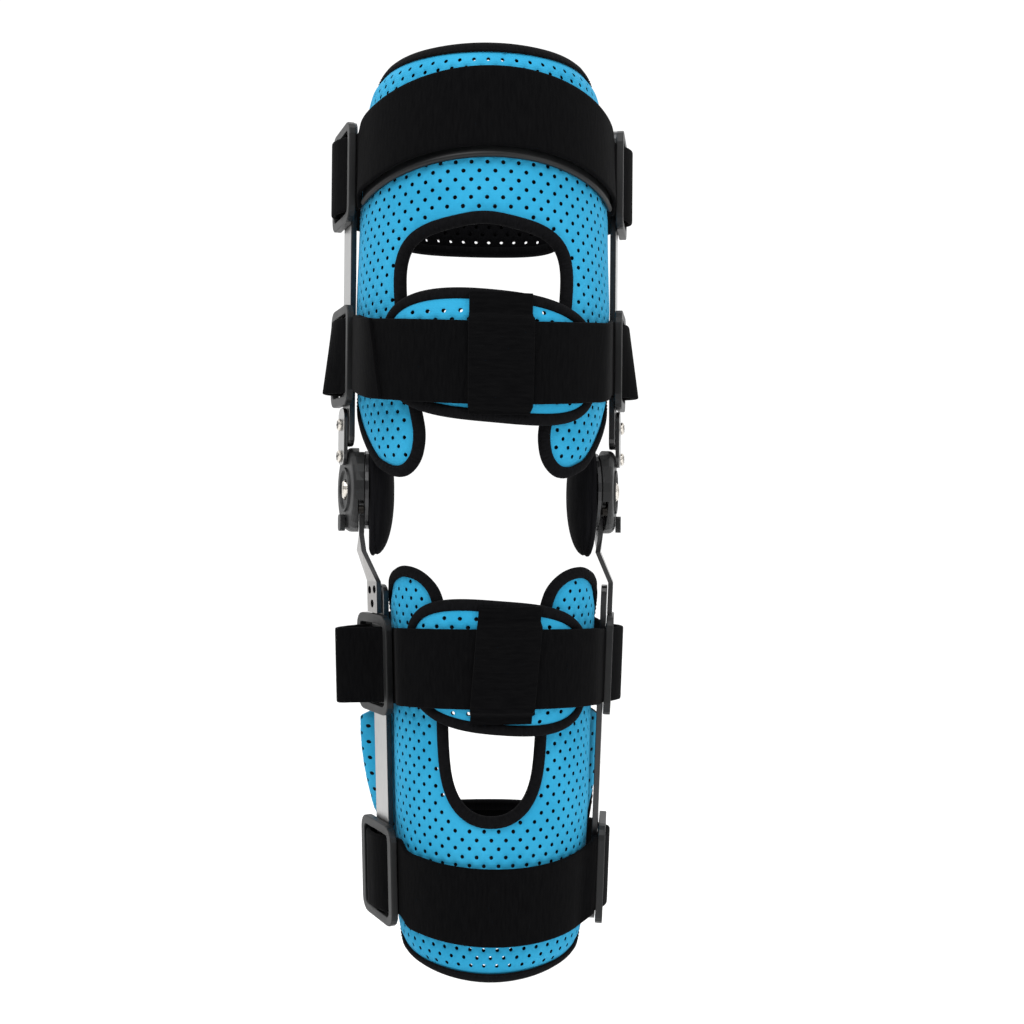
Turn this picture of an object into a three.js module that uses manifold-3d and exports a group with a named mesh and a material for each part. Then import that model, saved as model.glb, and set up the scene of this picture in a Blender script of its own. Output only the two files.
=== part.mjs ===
// Hinged knee brace, worn upright: a thigh half and a calf half that turn about one knee axis.
// Millimetres. The origin is the middle of the knee axis: +X runs along the axis to the wearer's
// left, +Y to the back of the knee and +Z up the thigh.
import * as THREE from 'three';
import { mergeVertices } from 'three/addons/utils/BufferGeometryUtils.js';
import Module from 'manifold-3d';

const wasm = await Module();
wasm.setup();
const { Vector2, Vector3 } = THREE;

// Driving dimensions
const GAP = 0.4;
const WRAP_THICKNESS = 5;
const BINDING_WIDTH = 5.5;
const BINDING_PROUD = 0.6;
const STRAP_WIDTH = 38;
const STRAP_THICKNESS = 2.2;
const PAD_THICKNESS = 5;
const ARCH_THICKNESS = 2;
const KEEPER_THICKNESS = 1.4;
const BAR_WIDTH = 16;
const BAR_THICKNESS = 3;
const BAR_CORNER = 5;
const RING_HEIGHT = 50;
const RING_DEPTH = 40;
const RING_BAR = 4.5;
const RING_THICKNESS = 3.6;
const RING_CORNER = 7;
const SCREW_RADIUS = 3.2;
const SCREW_HEIGHT = 1.6;
const SCREW_CHAMFER = 0.7;
const DRILL_FROM = 40;
const DRILL_TO = 90;

// Hinge: reaches are distances from the middle of the knee along its axis.
const HINGE = {
  coverRadius: 21.5,
  coverInnerReach: 62.8,
  coverDepth: 14,
  ringRadius: 10.5,
  ringWidth: 2,
  ringProud: 1,
  ringSlope: 0.4,
  rimRound: 3.6,
  rimSteps: 4,
  armInnerReach: 59.8,
  armThickness: 2.6,
  armHeadRadius: 15,
  armWidth: 13,
  innerPlateReach: 57.4,
  innerPlateThickness: 2,
  innerPlateRadius: 20,
  pivotRadius: 3,
  pivotHeadRadius: 5,
  pivotHeadHeight: 3.4,
  pivotChamfer: 1,
  pivotSeatReach: 67.8,
  stopPinRadius: 2.2,
  stopPinBack: -17,
  stopPinHeight: -10,
  plateWidth: 14,
  plateThickness: 2,
  plateTop: 41.5,
  plateFoot: 12.6,
  upperScrewHeight: 33,
  lowerScrewHeight: 17,
  tabWidth: 6,
  tabTop: -12.6,
  tabFoot: -21,
  tabThickness: 2.6,
  condyleHalfHeight: 32,
  condyleHalfDepth: 20,
  condyleHeight: -1.6,
  condyleThickness: 12.4,
  condyleEdge: 3,
  condyleFullness: 0.9,
  condyleChamfer: 0.5,
  condyleSteps: 5,
  skirtInset: 0.8,
  skirtThickness: 1.8,
  skirtFront: -7.6,
  skirtFoot: -5,
};

// One half of the brace. toe turns the bars' faces to the front and lean draws their feet in.
// sections is the outside of the wrap at each height, and outline is one side of the wrap's U, as
// turns in degrees from its middle: the window's edge and the outer rim. wrapTurn turns it all.
// flare is where the free cloth stands out behind the bars, between two rings.
const THIGH = {
  centre: 0,
  toe: { right: 14, left: 14 },
  lean: 0,
  spread: 69.7,
  wrapTurn: -4.5,
  barTop: 187,
  barFoot: 22,
  sections: [
    { height: 0, halfWidth: 61, front: 60, back: 52 },
    { height: 20, halfWidth: 62.6, front: 62.5, back: 53 },
    { height: 60, halfWidth: 64.6, front: 66, back: 54 },
    { height: 110, halfWidth: 64.6, front: 67.5, back: 54 },
    { height: 160, halfWidth: 62.6, front: 67, back: 54 },
    { height: 185, halfWidth: 61, front: 65.5, back: 53 },
    { height: 200, halfWidth: 57.8, front: 63.2, back: 51 },
    { height: 212, halfWidth: 51.5, front: 59, back: 47 },
  ],
  outline: [
    { edgeTurn: 0, edgeHeight: 123.5, rimTurn: 0, rimHeight: 210.5 },
    { edgeTurn: 13, edgeHeight: 121.5, rimTurn: 24, rimHeight: 210.6 },
    { edgeTurn: 25, edgeHeight: 118.5, rimTurn: 48, rimHeight: 211 },
    { edgeTurn: 33, edgeHeight: 113.5, rimTurn: 70, rimHeight: 211 },
    { edgeTurn: 36.3, edgeHeight: 105, rimTurn: 90, rimHeight: 208.5 },
    { edgeTurn: 36.3, edgeHeight: 93, rimTurn: 102, rimHeight: 199 },
    { edgeTurn: 34.8, edgeHeight: 78, rimTurn: 105, rimHeight: 172 },
    { edgeTurn: 32, edgeHeight: 60, rimTurn: 104, rimHeight: 130 },
    { edgeTurn: 28.7, edgeHeight: 41, rimTurn: 103, rimHeight: 85 },
    { edgeTurn: 26.2, edgeHeight: 27, rimTurn: 101, rimHeight: 57 },
    { edgeTurn: 28, edgeHeight: 15.5, rimTurn: 94, rimHeight: 44 },
    { edgeTurn: 33, edgeHeight: 8.7, rimTurn: 84, rimHeight: 35 },
    { edgeTurn: 39, edgeHeight: 5.8, rimTurn: 69, rimHeight: 22 },
    { edgeTurn: 46, edgeHeight: 6.2, rimTurn: 57, rimHeight: 10.5 },
  ],
};
const CALF = {
  centre: 6.5,
  toe: { right: 11, left: 22 },
  lean: 1.8,
  spread: 59.5,
  wrapTurn: -4.4,
  barTop: -48,
  barFoot: -219,
  sections: [
    { height: -36, halfWidth: 56.6, front: 43, back: 48 },
    { height: -49, halfWidth: 53.6, front: 43.4, back: 48 },
    { height: -90, halfWidth: 51.4, front: 44, back: 48 },
    { height: -150, halfWidth: 50.2, front: 44, back: 47 },
    { height: -195, halfWidth: 48.2, front: 42.5, back: 45 },
    { height: -215, halfWidth: 47.4, front: 41.3, back: 43.5 },
    { height: -230, halfWidth: 44.2, front: 39.2, back: 41 },
    { height: -242, halfWidth: 38, front: 34.5, back: 35.5 },
  ],
  outline: [
    { edgeTurn: 0, edgeHeight: -157, rimTurn: 0, rimHeight: -239.5 },
    { edgeTurn: 9.6, edgeHeight: -155.5, rimTurn: 22, rimHeight: -238.8 },
    { edgeTurn: 18, edgeHeight: -149.5, rimTurn: 45, rimHeight: -236.8 },
    { edgeTurn: 23.3, edgeHeight: -139, rimTurn: 68, rimHeight: -234.2 },
    { edgeTurn: 25.5, edgeHeight: -123, rimTurn: 88, rimHeight: -231 },
    { edgeTurn: 26, edgeHeight: -105, rimTurn: 101, rimHeight: -221.5 },
    { edgeTurn: 26, edgeHeight: -90, rimTurn: 108, rimHeight: -197 },
    { edgeTurn: 26, edgeHeight: -76, rimTurn: 119, rimHeight: -169 },
    { edgeTurn: 26, edgeHeight: -64, rimTurn: 133, rimHeight: -140 },
    { edgeTurn: 27.5, edgeHeight: -55, rimTurn: 121, rimHeight: -111 },
    { edgeTurn: 31.5, edgeHeight: -46.5, rimTurn: 107, rimHeight: -78 },
    { edgeTurn: 38.5, edgeHeight: -40.5, rimTurn: 95, rimHeight: -57 },
    { edgeTurn: 47, edgeHeight: -37.8, rimTurn: 81, rimHeight: -46.3 },
    { edgeTurn: 56, edgeHeight: -37.3, rimTurn: 67.5, rimHeight: -40.3 },
  ],
  flare: {
    firstTurn: 95, lastTurn: 115, top: -109, high: -119, low: -124, foot: -244,
    reach: { right: 13, left: 21.5 },
  },
};

// Straps: heights of the middle line at the front, at the rings and at the back, how far the strap
// lies off the wrap, where it comes down from a pad, its depth behind the knee axis, and how far it
// bows out of the rings on each side. flare is the extra bow of its lower edge.
const STRAPS = [
  {
    name: 'thigh_top_strap', leg: THIGH, front: 177, ring: 159, rear: 160, lift: 4.3, lastTurn: 70,
    depth: 58, bow: { right: 6.6, left: 6.6 }, flare: 0,
  },
  {
    name: 'thigh_low_strap', leg: THIGH, front: 58, ring: 67.5, rear: 80, lift: 7.6, lastTurn: 51,
    depth: 47, bow: { right: 8, left: 8 }, flare: 2.6,
  },
  {
    name: 'calf_top_strap', leg: CALF, front: -85, ring: -88, rear: -81, lift: 7.6, lastTurn: 55,
    depth: 47, bow: { right: 8, left: 21 }, flare: 0,
  },
  {
    name: 'calf_low_strap', leg: CALF, front: -200, ring: -193, rear: -197, lift: 2.5, lastTurn: 58,
    depth: 50, bow: { right: 5, left: 5 }, flare: 0,
  },
];
// How a strap threads a ring: places front to back along the ring, and its height over the bar's
// face, as a share of the bow where it stands clear of the bar.
const THREADING = [
  { along: -20.6, over: -1.5, share: 0 },
  { along: -16, over: -1.5, share: 0 },
  { along: -11.6, over: 0.8, share: 0 },
  { along: -7.6, over: 2.9, share: 0.04 },
  { along: -2.6, over: 2.2, share: 0.5 },
  { along: 2.8, over: 0, share: 1 },
  { along: 8, over: 1.6, share: 0.6 },
  { along: 11.4, over: 2.1, share: 0 },
  { along: 14.8, over: -1.5, share: 0 },
  { along: 20.6, over: -2.2, share: 0 },
];
const FRONT_TURNS = [0, 0.2, 0.4, 0.6, 0.8, 1];
const REAR_ANGLES = [18, 36, 54, 72, 90, 108, 126, 144, 162];

// Oval pads: half sizes across and up, and the keeper sleeve on the front ones.
const FRONT_PADS = [
  {
    name: 'thigh_front_pad', keeper: 'thigh_pad_keeper', leg: THIGH, height: 61.5, halfTurn: 49,
    halfHeight: 30.5, tilt: -4.5, strap: 'thigh_low_strap', keeperTurn: 2.2, keeperHalfTurn: 11.8,
    keeperTop: 90, keeperFoot: 34.5, slant: 0,
  },
  {
    name: 'calf_front_pad', keeper: 'calf_pad_keeper', leg: CALF, height: -85, halfTurn: 54,
    halfHeight: 32, tilt: -4.5, strap: 'calf_top_strap', keeperTurn: 2, keeperHalfTurn: 15,
    keeperTop: -55.5, keeperFoot: -111, slant: 2.2,
  },
];
const BACK_PADS = [
  { name: 'thigh_back_pad', strap: 'thigh_top_strap', height: 160, halfHeight: 29, firstAngle: 44 },
  { name: 'calf_back_pad', strap: 'calf_low_strap', height: -197, halfHeight: 28, firstAngle: 42 },
];
const FRONT_ROUNDNESS = 2.9;
const BACK_ROUNDNESS = 5;
const PAD_LIFT = BINDING_PROUD + GAP;

// Arms: from the hinge head down to the calf bar, as heights, reaches and turns of the strip.
const ARM_HOLES = [
  { along: -3.3, height: -50.4 },
  { along: 3.1, height: -51 },
  { along: 0, height: -57.8 },
];
const ARM_HOLE_RADIUS = 2.1;
const ARM_ROOT = -8;
const ARM_FOOT = -62.4;
const ARM_NECK = -22;
const ARM_NECK_TOE = 12;
const ARM_BEND_TOP = -31;
const ARM_BEND_FOOT = -46.5;
const ARM_SINK = 0.05;
const ARM_DRILL = 9;

// Finishes
const finish = (color, roughness, metalness = 0) => () =>
  new THREE.MeshStandardMaterial({ color, roughness, metalness });
const blueKnit = finish('#4db6e2', 0.85);
const blackBinding = finish('#15161a', 0.8);
const loopFabric = finish('#101013', 0.95);
const darkPlastic = finish('#3a3c40', 0.5);
const blackMetal = finish('#2a2b2e', 0.35, 0.8);
const greyMetal = finish('#77797d', 0.35, 0.9);
const brightSteel = finish('#c9cbce', 0.25, 1);

// Small tools
const rad = THREE.MathUtils.degToRad;
const sides = [
  { name: 'right', sign: 1 },
  { name: 'left', sign: -1 },
];

function cubic(a, b, c, d, t) {
  const first = (c - a) / 2;
  const last = (d - b) / 2;
  const t2 = t * t;
  const t3 = t2 * t;
  return (2 * t3 - 3 * t2 + 1) * b + (t3 - 2 * t2 + t) * first + (3 * t2 - 2 * t3) * c + (t3 - t2) * last;
}

// A smooth reading of one column of a table, at a place between its rows.
function column(table, key, place) {
  const last = table.length - 1;
  const row = Math.min(Math.max(Math.floor(place), 0), last - 1);
  const value = (i) => table[Math.min(Math.max(i, 0), last)][key];
  return cubic(value(row - 1), value(row), value(row + 1), value(row + 2), place - row);
}

function sectionAt(leg, height) {
  const table = leg.sections;
  const rising = table[1].height > table[0].height ? 1 : -1;
  let row = 0;
  while (row < table.length - 2 && rising * (height - table[row + 1].height) > 0) {
    row += 1;
  }
  const place = row + (height - table[row].height) / (table[row + 1].height - table[row].height);
  const read = (key) => column(table, key, THREE.MathUtils.clamp(place, 0, table.length - 1));
  return { halfWidth: read('halfWidth'), front: read('front'), back: read('back') };
}

function flareAt(leg, turn, height) {
  if (!leg.flare) {
    return 0;
  }
  const { firstTurn, lastTurn, top, high, low, foot, reach } = leg.flare;
  const { smoothstep } = THREE.MathUtils;
  const behind = smoothstep(Math.abs(turn), firstTurn, lastTurn);
  const out = turn > 0 ? reach.right : -reach.left;
  return out * behind * smoothstep(height, foot, low) * (1 - smoothstep(height, high, top));
}

// A point on the wrapped leg: turn is in degrees from the front, lift is out from the wrap's face.
function skin(leg, turn, height, lift) {
  const section = sectionAt(leg, height);
  const across = Math.sin(rad(turn));
  const ahead = Math.cos(rad(turn));
  const depth = ahead > 0 ? section.front : section.back;
  const normal = new Vector2(across / section.halfWidth, -ahead / depth).normalize();
  const x = section.halfWidth * across + lift * normal.x;
  const y = -depth * ahead + lift * normal.y;
  return new Vector3(leg.centre + x + flareAt(leg, turn, height), y, height);
}

function closedMesh(points, index) {
  const geometry = new THREE.BufferGeometry();
  const flat = points.flatMap((p) => [p.x, p.y, p.z]);
  geometry.setAttribute('position', new THREE.Float32BufferAttribute(flat, 3));
  let volume = 0;
  for (let i = 0; i < index.length; i += 3) {
    const [a, b, c] = [points[index[i]], points[index[i + 1]], points[index[i + 2]]];
    volume += a.dot(new Vector3().crossVectors(b, c));
  }
  geometry.setIndex(volume > 0 ? index : [...index].reverse());
  geometry.computeVertexNormals();
  return geometry;
}

// A closed wall between two matching grids of points, its rim filled in. A looped wall joins its
// last row to its first.
function wall(outer, inner, looped = false) {
  const rows = outer.length;
  const cols = outer[0].length;
  const at = (face, i, j) => (face * rows + (i % rows)) * cols + j;
  const index = [];
  const quad = (a, b, c, d) => index.push(a, b, c, a, c, d);
  const spans = looped ? rows : rows - 1;
  const end = cols - 1;
  for (let i = 0; i < spans; i += 1) {
    for (let j = 0; j < end; j += 1) {
      quad(at(0, i, j), at(0, i + 1, j), at(0, i + 1, j + 1), at(0, i, j + 1));
      quad(at(1, i, j), at(1, i, j + 1), at(1, i + 1, j + 1), at(1, i + 1, j));
    }
    quad(at(0, i, 0), at(1, i, 0), at(1, i + 1, 0), at(0, i + 1, 0));
    quad(at(0, i, end), at(0, i + 1, end), at(1, i + 1, end), at(1, i, end));
  }
  for (let j = 0; j < end && !looped; j += 1) {
    quad(at(0, 0, j), at(0, 0, j + 1), at(1, 0, j + 1), at(1, 0, j));
    quad(at(0, spans, j), at(1, spans, j), at(1, spans, j + 1), at(0, spans, j + 1));
  }
  return closedMesh([...outer.flat(), ...inner.flat()], index);
}

// A strip through four-cornered sections, with its ends filled in.
function strip(sections) {
  return wall(sections.map((s) => [s[0], s[1]]), sections.map((s) => [s[3], s[2]]));
}

function solid(geometry) {
  const bare = geometry.clone();
  bare.deleteAttribute('normal');
  bare.deleteAttribute('uv');
  const merged = mergeVertices(bare, 1e-4);
  const vertProperties = new Float32Array(merged.attributes.position.array);
  const triVerts = new Uint32Array(merged.index.array);
  return new wasm.Manifold(new wasm.Mesh({ numProp: 3, vertProperties, triVerts }));
}

function surface(manifold) {
  const mesh = manifold.getMesh();
  const geometry = new THREE.BufferGeometry();
  geometry.setAttribute('position', new THREE.Float32BufferAttribute(mesh.vertProperties, 3));
  geometry.setIndex([...mesh.triVerts]);
  geometry.computeVertexNormals();
  return geometry;
}

// Turns a flat outline (back, up) into a plate that grows outwards along X.
const PLATE_AXES = new THREE.Matrix4().makeBasis(
  new Vector3(0, 1, 0),
  new Vector3(0, 0, 1),
  new Vector3(1, 0, 0),
);
function plate(shape, innerReach, thickness) {
  const options = { depth: thickness, bevelEnabled: false, curveSegments: 2 };
  return new THREE.ExtrudeGeometry(shape, options).applyMatrix4(PLATE_AXES).translate(innerReach, 0, 0);
}

// A turned piece with its axis along X, from pairs of radius and reach.
function turned(profile, segments = 24) {
  const points = profile.map(([radius, reach]) => new Vector2(radius, reach));
  return new THREE.LatheGeometry(points, segments).rotateZ(-Math.PI / 2);
}

function roundedBox(shape, back, up, width, height, corner) {
  const right = back + width;
  const top = up + height;
  shape.moveTo(back + corner, up);
  shape.lineTo(right - corner, up);
  shape.absarc(right - corner, up + corner, corner, -Math.PI / 2, 0);
  shape.lineTo(right, top - corner);
  shape.absarc(right - corner, top - corner, corner, 0, Math.PI / 2);
  shape.lineTo(back + corner, top);
  shape.absarc(back + corner, top - corner, corner, Math.PI / 2, Math.PI);
  shape.lineTo(back, up + corner);
  shape.absarc(back + corner, up + corner, corner, Math.PI, 1.5 * Math.PI);
  return shape;
}

function mirrored(geometry) {
  const copy = geometry.index ? geometry.toNonIndexed() : geometry.clone();
  const position = copy.attributes.position;
  const corner = new Vector3();
  const swapped = new Float32Array(position.count * 3);
  for (let i = 0; i < position.count; i += 1) {
    const source = i % 3 === 0 ? i : i + (i % 3 === 1 ? 1 : -1);
    corner.fromBufferAttribute(position, source).multiply(new Vector3(-1, 1, 1)).toArray(swapped, 3 * i);
  }
  const result = new THREE.BufferGeometry();
  result.setAttribute('position', new THREE.BufferAttribute(swapped, 3));
  return mergeVertices(result, 1e-4);
}

function add(group, name, geometry, material) {
  const mesh = new THREE.Mesh(geometry, material());
  mesh.name = name;
  group.add(mesh);
}

// The bar's frame on one side: its local X points away from the knee on the right-hand side, and
// its origin is on the bar's outer face at the bar's top end for the calf and at the knee for the thigh.
function barFrame(leg, side) {
  const frame = new THREE.Group();
  const top = Math.min(leg.barTop, 0);
  frame.position.set(leg.centre + side.sign * leg.spread, 0, top);
  frame.rotation.set(0, side.sign * rad(leg.lean), -side.sign * rad(leg.toe[side.name]));
  frame.updateMatrix();
  return frame;
}

function onBar(leg, side, over, along, height) {
  const frame = barFrame(leg, side);
  return new Vector3(side.sign * over, along, height - frame.position.z).applyMatrix4(frame.matrix);
}

function addPair(parent, leg, name, geometry, material) {
  sides.forEach((side) => {
    const frame = barFrame(leg, side);
    const top = frame.position.z;
    const local = geometry.clone().translate(0, 0, -top);
    add(frame, `${name}_${side.name}`, side.sign > 0 ? local : mirrored(local), material);
    parent.add(frame);
  });
}

function addAxlePair(parent, name, geometry, material) {
  add(parent, `${name}_right`, geometry, material);
  add(parent, `${name}_left`, mirrored(geometry), material);
}

// Wraps and their binding
const STEPS_PER_ROW = 2;
function outlineCurves(leg) {
  const rows = leg.outline;
  const steps = (rows.length - 1) * STEPS_PER_ROW;
  const places = Array.from({ length: 2 * steps + 1 }, (_, i) => (i - steps) / STEPS_PER_ROW);
  const read = (turnKey, heightKey) => places.map((place) => {
    const row = Math.abs(place);
    const mirroredRows = [{ ...rows[1], [turnKey]: -rows[1][turnKey] }, ...rows];
    return new Vector2(
      leg.wrapTurn + Math.sign(place) * column(mirroredRows, turnKey, row + 1),
      column(mirroredRows, heightKey, row + 1),
    );
  });
  return { edge: read('edgeTurn', 'edgeHeight'), rim: read('rimTurn', 'rimHeight') };
}

// The wrap's outline moved inwards by a width, measured on the cloth laid flat.
function insetOutline(leg, width) {
  const { edge, rim } = outlineCurves(leg);
  const perTurn = rad(1) * (sectionAt(leg, leg.barFoot).halfWidth + sectionAt(leg, leg.barTop).halfWidth) / 2;
  const loop = [...edge, ...rim.toReversed()];
  const flat = loop.map((p) => new Vector2(p.x * perTurn, p.y));
  const area = THREE.ShapeUtils.area(flat);
  const moved = flat.map((p, i) => {
    const before = flat[(i + flat.length - 1) % flat.length];
    const after = flat[(i + 1) % flat.length];
    const along = after.clone().sub(before).normalize();
    const inward = new Vector2(-along.y, along.x).multiplyScalar(Math.sign(area) * width);
    const place = p.clone().add(inward);
    return new Vector2(place.x / perTurn, place.y);
  });
  return { loop: moved, edge: moved.slice(0, edge.length), rim: moved.slice(edge.length).toReversed() };
}

const WRAP_COLUMNS = 6;
function wrapPanel(leg) {
  const { edge, rim } = insetOutline(leg, BINDING_WIDTH + 3 * GAP);
  const face = (lift) => edge.map((inner, i) =>
    Array.from({ length: WRAP_COLUMNS + 1 }, (_, j) => {
      const place = inner.clone().lerp(rim[i], j / WRAP_COLUMNS);
      return skin(leg, place.x, place.y, lift);
    }));
  return wall(face(0), face(-WRAP_THICKNESS));
}

function wrapBinding(leg) {
  const free = insetOutline(leg, 0).loop;
  const sewn = insetOutline(leg, BINDING_WIDTH).loop;
  const face = (lift) => free.map((p, i) =>
    [skin(leg, p.x, p.y, lift), skin(leg, sewn[i].x, sewn[i].y, lift)]);
  return wall(face(BINDING_PROUD), face(-WRAP_THICKNESS - BINDING_PROUD), true);
}

// Stiff plate across the front of the thigh, under the top strap
const ARCH = { lastTurn: 70, halfHeight: 19.5, drop: 3.6, columns: 26 };
function strapHeight(strap, turn) {
  return strap.ring + (strap.front - strap.ring) * Math.max(Math.cos(rad(turn)), 0) ** 1.2;
}
function archPlate(strap) {
  const face = (lift) => Array.from({ length: ARCH.columns + 1 }, (_, i) => {
    const turn = ARCH.lastTurn * (2 * i / ARCH.columns - 1);
    const middle = strapHeight(strap, turn) - ARCH.drop;
    return [-1, 0, 1].map((v) => skin(strap.leg, turn, middle + v * ARCH.halfHeight, lift));
  });
  return wall(face(GAP + ARCH_THICKNESS), face(GAP));
}

// Straps: each is one loop, through the right ring, round the back and through the left ring.
function strapStations(strap) {
  const half = STRAP_WIDTH / 2;
  const stations = [];
  const push = (top, bottom) => stations.push({ top, bottom });
  const front = (turn) => {
    const middle = strapHeight(strap, turn);
    const at = (up) => skin(strap.leg, turn, middle + up, strap.lift);
    push(at(half), at(-half));
  };
  const ring = (side, row) => {
    const bow = row.over + row.share * strap.bow[side.name];
    const flare = row.share * strap.flare;
    push(
      onBar(strap.leg, side, bow - flare, row.along, strap.ring + half),
      onBar(strap.leg, side, bow + flare, row.along, strap.ring - half),
    );
  };
  FRONT_TURNS.forEach((share) => front(share * strap.lastTurn));
  THREADING.forEach((row) => ring(sides[0], row));
  rearArc(strap).forEach(({ point }) => {
    const at = (up) => point.clone().add(new Vector3(0, 0, up));
    push(at(half), at(-half));
  });
  THREADING.toReversed().forEach((row) => ring(sides[1], row));
  FRONT_TURNS.slice(1).toReversed().forEach((share) => front(-share * strap.lastTurn));
  return stations;
}

// The strap's plain way round the back, from ring to ring, and its outward direction there.
function rearArc(strap, angles = REAR_ANGLES, inset = 0) {
  const leave = THREADING.at(-1);
  const [right, left] = sides.map((side) => onBar(strap.leg, side, leave.over, leave.along, strap.ring));
  const middle = right.clone().lerp(left, 0.5);
  const halfWidth = (right.x - left.x) / 2;
  const depth = strap.depth - middle.y;
  return angles.map((angle) => {
    const across = Math.cos(rad(angle));
    const behind = Math.sin(rad(angle));
    const outward = new Vector3(across / halfWidth, behind / depth, 0).normalize();
    const height = strap.ring + (strap.rear - strap.ring) * behind;
    const point = new Vector3(middle.x + halfWidth * across, middle.y + depth * behind, height);
    return { point: point.addScaledVector(outward, -inset), outward };
  });
}

const STEPS_PER_STATION = 2;
function strapBand(strap) {
  const stations = strapStations(strap);
  const count = stations.length * STEPS_PER_STATION;
  const curve = (key) => new THREE.CatmullRomCurve3(stations.map((s) => s[key]), true, 'centripetal');
  const top = curve('top');
  const bottom = curve('bottom');
  const outer = [];
  const inner = [];
  for (let i = 0; i < count; i += 1) {
    const u = i / count;
    const along = top.getTangent(u).add(bottom.getTangent(u));
    const outward = new Vector3(along.y, -along.x, 0).setLength(STRAP_THICKNESS / 2);
    const edges = [top.getPoint(u), bottom.getPoint(u)];
    outer.push(edges.map((p) => p.clone().add(outward)));
    inner.push(edges.map((p) => p.clone().sub(outward)));
  }
  return wall(outer, inner, true);
}

// Oval pads: u runs across from -1 to 1 and v up from -1 to 1.
const PAD_STATIONS = 16;
const PAD_COLUMNS = 2;
const PAD_END = 0.985;
const PAD_RIM_STEPS = 40;
function ovalGrid(roundness, pointAt) {
  return Array.from({ length: PAD_STATIONS + 1 }, (_, i) => {
    const u = PAD_END * Math.sin(Math.PI * (i / PAD_STATIONS - 0.5));
    const reach = (1 - Math.abs(u) ** roundness) ** (1 / roundness);
    return Array.from({ length: PAD_COLUMNS + 1 }, (__, j) => pointAt(u, reach * (2 * j / PAD_COLUMNS - 1)));
  });
}

function ovalRim(pointAt) {
  const round = (value) => Math.sign(value) * Math.abs(value) ** (2 / FRONT_ROUNDNESS);
  return Array.from({ length: PAD_RIM_STEPS }, (_, i) => {
    const angle = 2 * Math.PI * i / PAD_RIM_STEPS;
    return pointAt(round(Math.cos(angle)), round(Math.sin(angle)));
  });
}

function frontPadPoint(pad, u, v, inset, lift) {
  const perTurn = rad(1) * sectionAt(pad.leg, pad.height).halfWidth;
  const turn = u * (pad.halfTurn - inset / perTurn);
  const height = pad.height + v * (pad.halfHeight - inset) + Math.tan(rad(pad.tilt)) * turn * perTurn;
  return skin(pad.leg, turn, height, lift);
}

function frontPadPanel(pad) {
  const point = (u, v, lift) => frontPadPoint(pad, u, v, BINDING_WIDTH + GAP, lift);
  const face = (lift) => ovalGrid(FRONT_ROUNDNESS, (u, v) => point(u, v, lift));
  return wall(face(PAD_LIFT + PAD_THICKNESS), face(PAD_LIFT));
}

function frontPadBinding(pad) {
  const face = (lift) => {
    const free = ovalRim((u, v) => frontPadPoint(pad, u, v, 0, lift));
    const sewn = ovalRim((u, v) => frontPadPoint(pad, u, v, BINDING_WIDTH, lift));
    return free.map((p, i) => [p, sewn[i]]);
  };
  return wall(face(PAD_LIFT + PAD_THICKNESS), face(PAD_LIFT), true);
}

const KEEPER_COLUMNS = 6;
const KEEPER_RAMP = 2.5;
function keeperSleeve(pad) {
  const low = PAD_LIFT + PAD_THICKNESS + GAP;
  const high = low + STRAP_THICKNESS + 2 * GAP;
  const { front } = STRAPS.find((s) => s.name === pad.strap);
  const crest = STRAP_WIDTH / 2 + 1;
  const rows = [
    { height: pad.keeperFoot, lift: low },
    { height: front - crest - KEEPER_RAMP, lift: low },
    { height: front - crest, lift: high },
    { height: front, lift: high },
    { height: front + crest, lift: high },
    { height: front + crest + KEEPER_RAMP, lift: low },
    { height: pad.keeperTop, lift: low },
  ];
  const middle = (pad.keeperTop + pad.keeperFoot) / 2;
  const face = (extra) => rows.map(({ height, lift }) =>
    Array.from({ length: KEEPER_COLUMNS + 1 }, (_, j) => {
      const side = 2 * j / KEEPER_COLUMNS - 1;
      const lean = pad.slant * (height - middle) / (pad.keeperTop - middle);
      return skin(pad.leg, pad.keeperTurn + lean + side * pad.keeperHalfTurn, height, lift + extra);
    }));
  return wall(face(KEEPER_THICKNESS), face(0));
}

function backPad(pad) {
  const strap = STRAPS.find((s) => s.name === pad.strap);
  const nearFace = STRAP_THICKNESS / 2 + GAP;
  const face = (inset) => ovalGrid(BACK_ROUNDNESS, (u, v) => {
    const angle = 90 + u * (90 - pad.firstAngle);
    const [{ point }] = rearArc(strap, [angle], inset);
    return point.setZ(pad.height + v * pad.halfHeight);
  });
  return wall(face(nearFace), face(nearFace + PAD_THICKNESS));
}

// Hard pieces in the bar's frame
function sideBar(leg) {
  const shape = new THREE.Shape();
  roundedBox(shape, -BAR_WIDTH / 2, leg.barFoot, BAR_WIDTH, leg.barTop - leg.barFoot, BAR_CORNER);
  return plate(shape, -BAR_THICKNESS, BAR_THICKNESS);
}

function guideRing(height) {
  const shape = new THREE.Shape();
  roundedBox(shape, -RING_DEPTH / 2, height - RING_HEIGHT / 2, RING_DEPTH, RING_HEIGHT, RING_CORNER);
  const hole = new THREE.Path();
  roundedBox(
    hole,
    RING_BAR - RING_DEPTH / 2,
    height - RING_HEIGHT / 2 + RING_BAR,
    RING_DEPTH - 2 * RING_BAR,
    RING_HEIGHT - 2 * RING_BAR,
    RING_CORNER - RING_BAR,
  );
  shape.holes.push(hole);
  return plate(shape, GAP, RING_THICKNESS);
}

function hingePlate() {
  const { plateWidth, plateTop, plateFoot, plateThickness } = HINGE;
  const shape = new THREE.Shape();
  roundedBox(shape, -plateWidth / 2, plateFoot, plateWidth, plateTop - plateFoot, BAR_CORNER);
  return plate(shape, GAP, plateThickness);
}

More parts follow.
